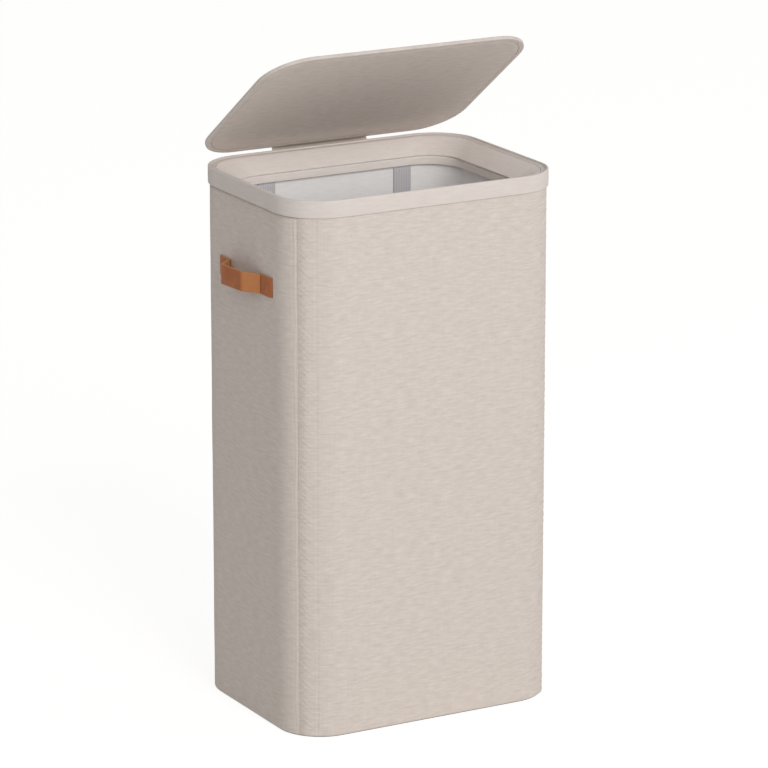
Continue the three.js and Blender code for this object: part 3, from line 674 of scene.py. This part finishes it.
LEATHER_PATCHES = 0.5
# Painted light on the strap's risers: how far it lifts the colour, and where it rises and falls
# from the strap's middle
RISER_PAINTED_LIGHT = 0.75
PAINTED_LIGHT_RISE = (0.0180, 0.0240)
PAINTED_LIGHT_FALL = (0.0450, 0.0490)
LEATHER_PORE = 0.0011
CORE_TONES = ("#A8764C", "#C79A70")
CORE_STRANDS_PER_METRE = (2500, 220, 1)
CORE_RELIEF = 0.0002
STITCH_LENGTH = 0.0030
STITCH_PITCH = 0.0042
STITCH_RADIUS = 0.00032
STITCH_SIDES = 6
STITCH_RINGS = 7
STITCH_TAPER = 0.08
STITCH_END_SHARE = 0.45
STITCH_SUNK = 0.6
STITCH_FROM_EDGE = 0.0030
STITCH_FROM_BEND = 0.0048
THREAD_TONES = ("#8A5A38", "#B97C4F")
THREAD_TWIST = 0.0006


def resampled(path, step):
    """The same path with points no further apart than a step."""
    lengths = path_lengths(path)
    count = [max(1, math.ceil(piece / step)) for piece in np.diff(lengths)]
    marks = np.concatenate([np.linspace(a, b, n, endpoint=False)
                            for a, b, n in zip(lengths[:-1], lengths[1:], count)] + [lengths[-1:]])
    return np.column_stack([np.interp(marks, lengths, path[:, axis]) for axis in (0, 1)])


handle_half = BODY_DEPTH / 2 - CORNER_RADIUS - HANDLE_FROM_CORNER
handle_face = BODY_WIDTH / 2 + FIT_GAP
handle_middle = HAMPER_HEIGHT - HANDLE_BELOW_RIM
handle_line = resampled(rounded([
    (handle_face, -handle_half, 0),
    (handle_face, -FOOT_SHARE * handle_half, FOOT_BEND),
    (handle_face + HANDLE_RISE_FRONT, -FRONT_BEND_SHARE * handle_half, BOW_BEND),
    (handle_face + HANDLE_RISE_REAR, REAR_BEND_SHARE * handle_half, BOW_BEND),
    (handle_face, FOOT_SHARE * handle_half, FOOT_BEND),
    (handle_face, handle_half, 0),
], closed=False, steps=6), HANDLE_STEP)
handle_lengths = path_lengths(handle_line)

# Vegetable-tanned leather with a rubbed waxy face: fine pores and soft darker patches. Its two
# risers, where it bends away from the wall, are painted paler: painted light for the lamp on them.
leather, tree, shader, where = new_material(
    "tanned_leather", roughness=0.48, unrolled=True, specular=0.15,
)
patches = add_node(tree, "TexNoise", {
    "Vector": where, "Scale": 1 / LEATHER_PATCH, "Detail": 5, "Roughness": 0.6,
}, noise_dimensions="2D")
pores = add_node(tree, "TexVoronoi", {
    "Vector": where, "Scale": 1 / LEATHER_PORE,
}, voronoi_dimensions="2D")
along = add_node(tree, "SeparateXYZ", {0: where}).outputs[1]
from_middle = add_node(tree, "Math", {0: along, 1: handle_lengths[-1] / 2}, operation="SUBTRACT")
from_middle = add_node(tree, "Math", {0: from_middle}, operation="ABSOLUTE")
# Painted light: a band on each side of the strap's middle, over its risers, is coloured towards the
# light tone
near = add_node(tree, "MapRange", {
    0: from_middle, 1: PAINTED_LIGHT_RISE[0], 2: PAINTED_LIGHT_RISE[1], 3: 0, 4: RISER_PAINTED_LIGHT,
}, interpolation_type="SMOOTHSTEP")
painted_riser_light = add_node(tree, "MapRange", {
    0: from_middle, 1: PAINTED_LIGHT_FALL[0], 2: PAINTED_LIGHT_FALL[1], 3: near, 4: 0,
}, interpolation_type="SMOOTHSTEP")
shade = add_node(tree, "Math", {
    0: patches, 1: LEATHER_PATCHES, 2: painted_riser_light,
}, operation="MULTIPLY_ADD")
polish = add_node(tree, "MapRange", {0: patches, 1: 0.3, 2: 0.7, 3: 0.58, 4: 0.42})
tree.links.new(polish.outputs[0], shader.inputs["Roughness"])
tint_and_raise(tree, shader, shade, LEATHER_TONES, pores, 0.22, LEATHER_PORE / 6)

# Cut edge of the same leather: pale, dry and fibrous along its length.
leather_edge, tree, shader, where = new_material(
    "cut_leather_edge", roughness=0.8, unrolled=True, specular=0.2,
)
stretched = add_node(tree, "Mapping", {"Vector": where, "Scale": CORE_STRANDS_PER_METRE})
strands = add_node(tree, "TexNoise", {
    "Vector": stretched, "Scale": 1, "Detail": 3,
}, noise_dimensions="2D")
tint_and_raise(tree, shader, strands, CORE_TONES, strands, 0.4, CORE_RELIEF)

# Waxed thread of the leather's own colour.
waxed_thread, tree, shader, where = new_material("waxed_thread", roughness=0.55, specular=0.4)
twist = add_node(tree, "TexNoise", {"Vector": where, "Scale": 1 / THREAD_TWIST, "Detail": 1})
tint_and_raise(tree, shader, twist, THREAD_TONES)


def add_tube(shape, rings):
    """Add a tube through rings of places, closed at both ends."""
    rings = [[shape.verts.new(place) for place in ring] for ring in rings]
    for one, other in zip(rings, rings[1:]):
        for i in range(len(one)):
            j = (i + 1) % len(one)
            shape.faces.new((one[i], one[j], other[j], other[i]))
    shape.faces.new(rings[0][::-1])
    shape.faces.new(rings[-1])


def stitches(name, boxes, outward, material):
    """Stitches round boxes on a face, each a short bowed thread that lies on it."""
    shape = bmesh.new()
    angles = np.linspace(0, 2 * math.pi, STITCH_SIDES, endpoint=False)
    for one, other in (pair for box in boxes for pair in zip(box, box[1:] + box[:1])):
        count = max(1, round((other - one).length / STITCH_PITCH))
        half_stitch = (other - one).normalized() * STITCH_LENGTH / 2
        for number in range(count):
            middle = one.lerp(other, (number + 0.5) / count)
            start, end = middle - half_stitch, middle + half_stitch
            along = (end - start).normalized()
            across = along.cross(outward).normalized()
            rings = []
            for share in np.linspace(0, 1, STITCH_RINGS):
                swell = math.sin(math.pi * (STITCH_TAPER + (1 - 2 * STITCH_TAPER) * share))
                centre = start.lerp(end, share) + outward * STITCH_RADIUS * (swell - STITCH_SUNK)
                radius = STITCH_RADIUS * (STITCH_END_SHARE + (1 - STITCH_END_SHARE) * swell)
                rings.append([
                    centre + radius * (math.cos(a) * across + math.sin(a) * outward) for a in angles
                ])
            add_tube(shape, rings)
    bmesh.ops.recalc_face_normals(shape, faces=shape.faces)
    mesh = mesh_of(name, shape)
    mesh.shade_smooth()
    mesh.materials.append(material)
    return placed(name, mesh)


def strap_section(width, thickness, edge):
    """Outline across a flat strap with rounded edges, from the face that it lies on."""
    return rounded([
        (0, -width / 2, edge), (thickness, -width / 2, edge),
        (thickness, width / 2, edge), (0, width / 2, edge),
    ], steps=3)


def swept(line, side, section, shares=1):
    """Places in a line's plane, and across it, of a section carried along its left side, 1, or its
    right side, -1, and thinned by shares."""
    along = np.gradient(line, axis=0)
    along /= np.linalg.norm(along, axis=1)[:, None]
    normals = side * np.column_stack([-along[:, 1], along[:, 0]])
    shares = np.broadcast_to(shares, len(line))[:, None, None]
    flat = line[:, None] + shares * section[:, :1] * normals[:, None]
    return flat[..., 0], flat[..., 1], np.broadcast_to(section[:, 1], flat.shape[:2])


def leather_thickness(from_end):
    """The strap is pared thin towards its ends."""
    return np.interp(from_end, (0, SKIVED_LENGTH), (SKIVED_THICKNESS, HANDLE_THICKNESS))


section = strap_section(HANDLE_HEIGHT, HANDLE_THICKNESS, HANDLE_EDGE)
handle_map = unroll(handle_lengths, section)
from_end = np.minimum(handle_lengths, handle_lengths[-1] - handle_lengths)
thinning = leather_thickness(from_end) / HANDLE_THICKNESS
x, y, z = swept(handle_line, -1, section, thinning)
low, high = (handle_middle + up * (HANDLE_HEIGHT / 2 - STITCH_FROM_EDGE) for up in (-1, 1))
for side, sign in (("left", -1), ("right", 1)):
    points = np.stack([sign * x, y - HANDLE_FORWARD, handle_middle + z], -1)
    handle = surface(f"{side}_strap", points, handle_map, leather)
    handle.data.materials.append(leather_edge)
    for polygon in handle.data.polygons:
        polygon.material_index = int(abs(polygon.normal.z) > CUT_EDGE_NORMAL)
    attach(handle, f"{side}_handle")
    boxes = []
    for end_sign in (-1, 1):
        far = end_sign * (handle_half - STITCH_FROM_EDGE)
        near = end_sign * (FOOT_SHARE * handle_half + STITCH_FROM_BEND)
        boxes.append([Vector((
            sign * (handle_face + leather_thickness(handle_half - abs(reach))),
            reach - HANDLE_FORWARD, height,
        )) for reach, height in ((far, low), (far, high), (near, high), (near, low))])
    sewn = stitches(f"{side}_strap_stitches", boxes, Vector((sign, 0, 0)), waxed_thread)
    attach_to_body(sewn, "hamper")

# Collar of the liner
# A sloping funnel of board covered in the rim's cloth. It rests inside the rim, and ends in a
# thin turned lip over the hoop.
COLLAR_TOP_STEP = 0.0007
COLLAR_DROP = 0.0163
COLLAR_LIP = 0.0017
COLLAR_INSET = 0.0318
COLLAR_RADIUS = 0.042
COLLAR_LEG = 0.0020
COLLAR_SKIN = 0.0056
REST_HEIGHT = 0.0041
COLLAR_CROWN = 0.0005
COLLAR_CROWN_ROUNDING = 0.15
COLLAR_SWELL = 0.0005
COLLAR_TOP_ROUNDING = 0.0004
COLLAR_EDGE_ROUNDING = 0.0009
COLLAR_LIP_ROUNDING = 0.0006
COLLAR_LEG_ROUNDING = 0.0010
HOOP_HEIGHT = 0.0109
HOOP_THICKNESS = 0.0050
HOOP_SETBACK = 0.0010
HOOP_RADIUS = 0.046
HOOP_TOP_ROUNDING = 0.0022
HOOP_FOOT_ROUNDING = 0.0012
BAG_CLOTH = 0.0012
# The rim cloth's tones raised: painted light for the collar and hoop, which lie in the rim's shade
LINER_TONES_PAINTED_LIGHTER = ("#E4DBD5", "#F1E9E3")

# The rim's fine-woven polyester with its tones raised: painted light that lifts the shade inside
# the rim.
painted_light_liner_linen = woven_cloth("fine_linen_painted_lighter", LINER_TONES_PAINTED_LIGHTER, **fine_weave)

rest_outer = rim_inner + FIT_GAP
rest_top = rim_bottom + RIM_CLOTH + FIT_GAP + REST_HEIGHT
collar_top = shelf_top - COLLAR_TOP_STEP
collar_edge_top = collar_top - COLLAR_DROP
collar_bottom = collar_edge_top - COLLAR_LIP
hoop_inner = COLLAR_INSET - HOOP_SETBACK
hoop_outer = hoop_inner - HOOP_THICKNESS
hoop_top = collar_bottom - FIT_GAP
hoop_bottom = hoop_top - HOOP_HEIGHT
bag_inner = hoop_outer - FIT_GAP
bag_outer = bag_inner - BAG_CLOTH


def collar_radius(inset):
    """The collar's corners go over from the body's to its own smaller ones."""
    return np.interp(inset, (rest_outer, COLLAR_INSET), (body_radius(rest_outer), COLLAR_RADIUS))


def hoop_radius(inset):
    """Corner radius of the hoop, and of the bag that hangs in it."""
    return HOOP_RADIUS + hoop_inner - inset


leg_inner = rest_outer + COLLAR_LEG
slope_inset = (rest_outer + COLLAR_INSET) / 2
slope_height = (collar_top + collar_edge_top) / 2
collar_profile = rounded([
    (rest_outer, collar_top + COLLAR_SWELL, COLLAR_TOP_ROUNDING),
    (slope_inset + COLLAR_CROWN / 2, slope_height + COLLAR_CROWN, COLLAR_CROWN_ROUNDING),
    (COLLAR_INSET, collar_edge_top, COLLAR_EDGE_ROUNDING),
    (COLLAR_INSET, collar_bottom, COLLAR_LIP_ROUNDING),
    (bag_inner, collar_bottom, 0),
    (leg_inner, collar_top - COLLAR_SKIN, COLLAR_LEG_ROUNDING),
    (leg_inner, rest_top + FIT_GAP, 0),
    (rest_outer, rest_top + FIT_GAP, 0),
], steps=5)
collar = ring("collar_funnel", collar_profile, painted_light_liner_linen, collar_radius)
attach(collar, "liner_collar")

# Hoop of the liner
# A stiff band in the bag's hem, covered in the collar's cloth, with rounded edges.
hoop_profile = rounded([
    (hoop_inner, hoop_top, HOOP_TOP_ROUNDING), (hoop_inner, hoop_bottom, HOOP_FOOT_ROUNDING),
    (hoop_outer, hoop_bottom, HOOP_FOOT_ROUNDING), (hoop_outer, hoop_top, HOOP_TOP_ROUNDING),
], steps=5)
hoop = ring("hoop_band", hoop_profile, painted_light_liner_linen, hoop_radius)
attach(hoop, "liner_hoop")

# Liner bag
# White polyester cloth, sewn to the hoop and hanging to the floor of the body. Between the hoop
# and its floor it falls in shallow folds, which go outwards only, clear of the webbing.
BAG_CORNER = 0.010
BAG_FOLD = 0.0045
BAG_FOLD_WAVES = ((0.5, 7, 0.10), (0.31, 13, 0.42), (0.19, 22, 0.77))
BAG_FOLD_LEAN = 0.10
FOLDS_START = 0.02
FOLDS_GROW = 0.20
FOLDS_END = 0.01
FOLDS_FADE = 0.12
BAG_PUCKER = 0.0008
BAG_PUCKER_LENGTHS = (0.0113, 0.0171, 0.0260)
BAG_HEM = 0.011
BAG_HEM_FADE = 0.012
BAG_STATIONS = (24, 60, 40)
OUTWARD_REACH = 0.03
WALL_MARGIN = 0.002
DIVIDER_CLEAR = 0.02
STRAP_WIDTH = 0.024
STRAP_FROM_CORNER = 0.0087
STRAP_CLEAR = 0.022
WHITE_TONES = ("#ECEAE9", "#F7F5F4")

# White spun-polyester cloth: close, thin and matt.
white_cloth = woven_cloth(
    "white_polyester", WHITE_TONES, slub=0.014, contrast=0.7, relief=0.25, sheen=0.1,
)
strap_middle = BODY_WIDTH / 2 - bag_inner - hoop_radius(bag_inner) - STRAP_FROM_CORNER


def bag_folds(rows, inset, stations):
    """Move a face of the bag outwards into folds that grow below the hoop and fade at the foot."""
    around = path_lengths(rows[0], closed=True)
    around, total = around[:-1], around[-1]
    drop = (rows[0, 0, 2] - rows[:, 0, 2])[:, None]
    height = drop[-1]
    within = inset + OUTWARD_REACH
    core = outline(stations, within, hoop_radius(within))
    outward = rows[0, :, :2] - core
    outward /= np.linalg.norm(outward, axis=1)[:, None]
    lean = BAG_FOLD_LEAN * np.sin(2 * math.pi * drop / height)
    fold = sum(share * np.sin(2 * math.pi * (number * around / total + start) + lean * number)
               for share, number, start in BAG_FOLD_WAVES)
    grow = ramp(drop - FOLDS_START, FOLDS_GROW)
    fade = ramp(height - drop - FOLDS_END, FOLDS_FADE)
    x, y = rows[0, :, :2].T
    is_wall = np.abs(y) > BODY_DEPTH / 2 - inset - WALL_MARGIN
    from_strap = np.abs(np.abs(x) - strap_middle)
    clear = np.where(is_wall, 1 - np.exp(-(from_strap / STRAP_CLEAR) ** 4), 1)
    clear *= 1 - np.exp(-(np.abs(x) / DIVIDER_CLEAR) ** 4)
    hem = np.exp(-np.maximum(drop - BAG_HEM, 0) / BAG_HEM_FADE) * ramp(drop, BAG_HEM_FADE)
    pucker = waves(around, BAG_PUCKER_LENGTHS, 5)
    size = BAG_FOLD * (0.5 + 0.5 * fold) * grow * fade + BAG_PUCKER * (0.5 + 0.5 * pucker) * hem
    rows[:, :, :2] += outward * (size * clear)[:, :, None]


bag_bottom = lining_bottom + LINING + FIT_GAP
bag_floor = bag_bottom + BAG_CLOTH
bag = cup(
    "white_bag", white_cloth, inset=bag_outer, bottom=bag_bottom, cloth=BAG_CLOTH, top=hoop_top,
    corner=BAG_CORNER, radius_at=hoop_radius, stations=ring_stations(*BAG_STATIONS),
    folds=bag_folds,
)
attach(bag, "liner_bag")

# Divider of the two bins
# A thin board in a sleeve of the bag's cloth, sewn to the bag's floor and walls.
DIVIDER = 0.0030
DIVIDER_DROP = 0.058
DIVIDER_ROUNDING = 0.0013
DIVIDER_STEP = 0.012
DIVIDER_ROWS = 24
DIVIDER_END = 0.95
DIVIDER_END_ROWS = (0.98, 0.995, 1)
DIVIDER_END_TUCK = 0.45

divider_top = hoop_bottom - DIVIDER_DROP
divider_low = bag_floor + FIT_GAP
divider_half = BODY_DEPTH / 2 - bag_inner - FIT_GAP
divider_outline = rounded([
    (-DIVIDER / 2, divider_low, 0), (DIVIDER / 2, divider_low, 0),
    (DIVIDER / 2, divider_top, DIVIDER_ROUNDING), (-DIVIDER / 2, divider_top, DIVIDER_ROUNDING),
])
divider_closed = np.concatenate([divider_outline, divider_outline[:1]])
divider_section = resampled(divider_closed, DIVIDER_STEP)[:-1]
divider_rows = np.concatenate([
    -np.array(DIVIDER_END_ROWS)[::-1], np.linspace(-DIVIDER_END, DIVIDER_END, DIVIDER_ROWS),
    DIVIDER_END_ROWS,
])
into_end = ramp(np.abs(divider_rows) - DIVIDER_END, 1 - DIVIDER_END)
thinning = 1 - DIVIDER_END_TUCK * into_end ** 2
points = np.stack(np.broadcast_arrays(
    divider_section[:, 0] * thinning[:, None], divider_rows[:, None] * divider_half,
    divider_section[:, 1],
), -1)
divider_map = unroll(divider_rows * divider_half, divider_section)[:, :, ::-1]
divider = surface("bin_divider", points, divider_map, white_cloth)
attach(divider, "liner_divider")

# Webbing of the two bins
# Grey woven tape, 24 mm wide, sewn under the hoop: down the back of each bin, across its floor and
# up the front, to lift the liner by.
STRAP_THICKNESS = 0.0015
STRAP_GAP = 0.0006
STRAP_EDGE = 0.0006
STRAP_BEND = 0.009
STRAP_STEP = 0.006
WEBBING_TONES = ("#B4B1B5", "#CBC8CC")
RIB_PITCH = 0.0024
PICK_SLANT = math.radians(35)

# Polyester webbing: ribs along its length, made of slanting threads, with a bound edge. The ribs
# are drawn at twice their pitch, because the real ones are too fine to show.
webbing, tree, shader, where = new_material(
    "grey_webbing", roughness=0.8, unrolled=True, specular=0.3, sheen=0.15,
)
ribs = add_node(tree, "TexWave", {
    "Vector": where, "Scale": WAVE_LENGTH / RIB_PITCH,
}, bands_direction="X")
slanted = add_node(tree, "Mapping", {"Vector": where, "Rotation": (0, 0, PICK_SLANT)})
picks = add_node(tree, "TexWave", {
    "Vector": slanted, "Scale": 2 * WAVE_LENGTH / RIB_PITCH, "Distortion": 0.5,
}, bands_direction="Y")
height = add_node(tree, "Math", {
    0: picks.outputs[1], 1: 0.5, 2: ribs.outputs[1],
}, operation="MULTIPLY_ADD")
tint_and_raise(tree, shader, height, WEBBING_TONES, height, 0.5, RIB_PITCH / 8)

strap_out = BODY_DEPTH / 2 - bag_inner - STRAP_GAP
strap_low = bag_floor + FIT_GAP
strap_line = resampled(rounded([
    (-strap_out, hoop_bottom - FIT_GAP, 0), (-strap_out, strap_low, STRAP_BEND),
    (strap_out, strap_low, STRAP_BEND), (strap_out, hoop_bottom - FIT_GAP, 0),
], closed=False, steps=8), STRAP_STEP)
section = strap_section(STRAP_WIDTH, STRAP_THICKNESS, STRAP_EDGE)
strap_map = unroll(path_lengths(strap_line), section)
y, z, x = swept(strap_line, 1, section)
for side, sign in (("left", -1), ("right", 1)):
    points = np.stack([sign * strap_middle + x, y, z], -1)
    tape = surface(f"{side}_webbing", points, strap_map, webbing)
    attach(tape, f"{side}_bin_strap")

# Hinge
# Moulded taupe plastic leaves with five knuckles on a steel pin. One leaf is screwed to the rim's
# back, and the other turns forward over the lid's back edge.
LEAF_ROUNDING = 0.0005
LEAF_BEVEL_ANGLE = math.radians(50)
LEAF_SHARP_ANGLE = math.radians(40)
PLASTIC_TONES = ("#CDBFB2", "#D6C9BC")
PLASTIC_CLOUD = 0.02
PLASTIC_GRAIN = 0.0008
PLASTIC_RELIEF = 0.0001
STEEL_TONES = ("#A3A5A6", "#C4C6C6")
PLATING_GRAIN = 0.0012

# Moulded polypropylene: fine spark-eroded grain, soft even gloss.
plastic, tree, shader, where = new_material("moulded_polypropylene", roughness=0.45, ior=1.49)
clouds, grain = (add_node(tree, "TexNoise", {
    "Vector": where, "Scale": 1 / size, "Detail": 2,
}) for size in (PLASTIC_CLOUD, PLASTIC_GRAIN))
tint_and_raise(tree, shader, clouds, PLASTIC_TONES, grain, 0.15, PLASTIC_RELIEF)

# Zinc-plated steel: pale, with a slightly uneven plating.
steel, tree, shader, where = new_material("zinc_plated_steel", roughness=0.35, metallic=1)
plating = add_node(tree, "TexNoise", {"Vector": where, "Scale": 1 / PLATING_GRAIN, "Detail": 3})
dulled = add_node(tree, "MapRange", {0: plating, 1: 0.3, 2: 0.7, 3: 0.28, 4: 0.42})
tree.links.new(dulled.outputs[0], shader.inputs["Roughness"])
tint_and_raise(tree, shader, plating, STEEL_TONES)

hinge_finishes = {"hinge_rim_leaf": plastic, "hinge_lid_leaf": plastic, "hinge_pin": steel}
for name, material in hinge_finishes.items():
    node = nodes[name]
    finish_in(node.data, material)
    bevel = node.modifiers.new("moulded_edges", "BEVEL")
    bevel.width = LEAF_ROUNDING if material is plastic else LEAF_ROUNDING / 2
    bevel.segments = 2
    bevel.limit_method = "ANGLE"
    bevel.angle_limit = LEAF_BEVEL_ANGLE
    node.data.shade_smooth()
    node.data.set_sharp_from_angle(angle=LEAF_SHARP_ANGLE)

# Lid
# A stiff board with the body's linen drawn over its top and edge and turned under as a narrow
# hem, round an inner panel of the same linen glued to its underside.
LID_SIDE_GAP = 0.00035
LID_END_GAP = 0.00195
LID_CORNER_GAP = 0.0013
LID_BOARD = 0.0022
LID_CLOTH = 0.0008
LID_HEM = 0.007
LID_REST_GAP = 0.0004
LID_OPEN_ANGLE = math.radians(35.4)
LID_EDGE = 0.0014
HEM_ROUNDING = 0.0007
LID_CROWN = 0.0003
LID_STATIONS = (16, 36, 24)
LID_ROWS = 13
LEAST_CORNER = 0.001

lid_half_x = BODY_WIDTH / 2 - lip_inner - LID_SIDE_GAP
lid_half_y = BODY_DEPTH / 2 - lip_inner - LID_END_GAP
lid_corner = CORNER_RADIUS - lip_inner - LID_CORNER_GAP
pivot = Vector(frame["joints"][0]["pos_m"])  # the middle of the hinge's pin
opened = Matrix.Rotation(-LID_OPEN_ANGLE, 4, "X")
lid_turn = Matrix.Translation(pivot) @ opened @ Matrix.Translation(-pivot)
lid_bottom = shelf_top + LID_REST_GAP
lid_top = lid_bottom + 2 * LID_CLOTH + 2 * FIT_GAP + LID_BOARD


def lid_radius(inset):
    """Corner radius at some depth inside the lid's outline."""
    return max(lid_corner - inset, LEAST_CORNER)


def lid_disc(name, rim_path, crown=0):
    """Linen-covered plate of the lid through an open (inset, height) path, whose ends run on to the
    middle, turned to where the lid stands open."""
    rows = loops(rim_path, ring_stations(*LID_STATIONS), lid_radius, lid_half_x, lid_half_y)
    spine = lid_half_x - lid_half_y
    under, over = (closing_rows(row, spine, LID_ROWS) for row in (rows[0], rows[-1]))
    over[:, :, 2] += crown * np.sin(np.linspace(0, math.pi / 2, LID_ROWS + 1)[1:, None])
    points = np.concatenate([under[::-1], rows, over])
    mapped = np.concatenate([points, points[:, :1]], axis=1)[:, :, :2]
    plate = surface(name, points, mapped, linen, "shut")
    plate.data.transform(lid_turn)
    return plate


cloth = LID_CLOTH
cover_path = rounded([
    (cloth, lid_top - cloth, 0), (cloth, lid_bottom + cloth, 0), (LID_HEM, lid_bottom + cloth, 0),
    (LID_HEM, lid_bottom, HEM_ROUNDING), (0, lid_bottom, LID_EDGE), (0, lid_top, LID_EDGE),
    (LID_HEM, lid_top, 0),
], closed=False, steps=5)
lid_cover = lid_disc("lid_cover", cover_path, LID_CROWN)
attach(lid_cover, "lid_fabric", "lid")

inner_inset = LID_HEM + FIT_GAP
panel_path = rounded([
    (2 * inner_inset, lid_bottom, 0), (inner_inset, lid_bottom, HEM_ROUNDING),
    (inner_inset, lid_bottom + cloth, 0), (2 * inner_inset, lid_bottom + cloth, 0),
], closed=False, steps=3)
lid_panel = lid_disc("lid_inner_panel", panel_path)
attach(lid_panel, "lid_lining", "lid")

# Screws
# Six small zinc-plated pan-head screws with a cross recess hold the hinge: three in the rim and
# three in the lid.
LEAF_THICKNESS = 0.0015
SCREW_PITCH = 0.050
SCREW_RADIUS = 0.0011
HEAD_RADIUS = 0.002
HEAD_HEIGHT = 0.0010
RIM_SCREW_RISE = 0.0036
RIM_SCREW_LENGTH = 0.006
LID_SCREW_COVER = 0.0008
LID_SCREW_FROM_EDGE = 0.012
SCREW_TURNS = 32
SCREW_POINT = ((0.35, 0), (0.8, 0.0010), (1, 0.0022))
HEAD_ANGLES = np.linspace(0.25, math.pi / 2 - 0.05, 7)
HEAD_SQUARENESS = 0.5
HEAD_FLATNESS = 0.8
HEAD_SHARP_ANGLE = math.radians(35)
RECESS_HALF = 0.0011
RECESS_WIDTH = 0.0004
RECESS_DEPTH = 0.0006
RECESS_FOOT_SHARE = 0.6
RECESS_TOP_SHARE = 1.1
RECESS_TOP = 0.0015


def pan_head_screw(name, length, placing):
    """Screw along -Z with its domed head on the origin, and a cross cut into it."""
    profile = [(0, -length)]
    profile += [(SCREW_RADIUS * share, rise - length) for share, rise in SCREW_POINT]
    profile += [(SCREW_RADIUS, 0), (HEAD_RADIUS, 0)]
    profile += [(HEAD_RADIUS * math.cos(angle) ** HEAD_SQUARENESS,
                 HEAD_HEIGHT * math.sin(angle) ** HEAD_FLATNESS) for angle in HEAD_ANGLES]
    profile += [(0, HEAD_HEIGHT)]
    shape = bmesh.new()
    corners = [shape.verts.new((radius, 0, z)) for radius, z in profile]
    edges = [shape.edges.new(pair) for pair in zip(corners, corners[1:])]
    bmesh.ops.spin(shape, geom=corners + edges, cent=(0, 0, 0), axis=(0, 0, 1),
                   angle=2 * math.pi, steps=SCREW_TURNS, use_merge=True)
    bmesh.ops.remove_doubles(shape, verts=shape.verts, dist=MERGE_DISTANCE)
    bmesh.ops.recalc_face_normals(shape, faces=shape.faces)
    screw = placed(name, mesh_of(name, shape))
    arm, half = RECESS_HALF, RECESS_WIDTH / 2
    cross = [
        (arm, -half), (arm, half), (half, half), (half, arm), (-half, arm), (-half, half),
        (-arm, half), (-arm, -half), (-half, -half), (-half, -arm), (half, -arm), (half, -half),
    ]
    shape = bmesh.new()
    add_tube(shape, [[(x * share, y * share, z) for x, y in cross] for share, z in (
        (RECESS_FOOT_SHARE, HEAD_HEIGHT - RECESS_DEPTH), (RECESS_TOP_SHARE, RECESS_TOP),
    )])
    cutter = placed("cross", mesh_of("cross", shape))
    cut = screw.modifiers.new("recess", "BOOLEAN")
    cut.object = cutter
    cut.solver = "EXACT"
    bpy.context.view_layer.update()
    whole = screw.evaluated_get(bpy.context.evaluated_depsgraph_get())
    finished = bpy.data.meshes.new_from_object(whole)
    screw.modifiers.clear()
    screw.data = finished
    bpy.data.objects.remove(cutter)
    finish_in(finished, steel)
    finished.shade_smooth()
    finished.set_sharp_from_angle(angle=HEAD_SHARP_ANGLE)
    finished.transform(placing)
    return screw


leaf_outer = BODY_DEPTH / 2 + RIM_OVERHANG + FIT_GAP + LEAF_THICKNESS
lid_leaf_top = lid_top + FIT_GAP + LEAF_THICKNESS
lid_screw_tip = lid_bottom + LID_CLOTH + FIT_GAP + LID_SCREW_COVER
lid_screw_y = lid_half_y - LID_SCREW_FROM_EDGE
rim_screw_z = rim_bottom + RIM_SCREW_RISE
seat = lid_leaf_top + FIT_GAP
turned_back = Matrix.Rotation(-math.pi / 2, 4, "X")
for number, x in enumerate((-SCREW_PITCH, 0, SCREW_PITCH), 1):
    at = Matrix.Translation((x, leaf_outer + FIT_GAP, rim_screw_z)) @ turned_back
    screw = pan_head_screw(f"rim_screw_head_{number}", RIM_SCREW_LENGTH, at)
    attach(screw, f"rim_screw_{number}")
    at = lid_turn @ Matrix.Translation((x, lid_screw_y, seat))
    screw = pan_head_screw(f"lid_screw_head_{number}", seat - lid_screw_tip, at)
    attach(screw, f"lid_screw_{number}", "lid")
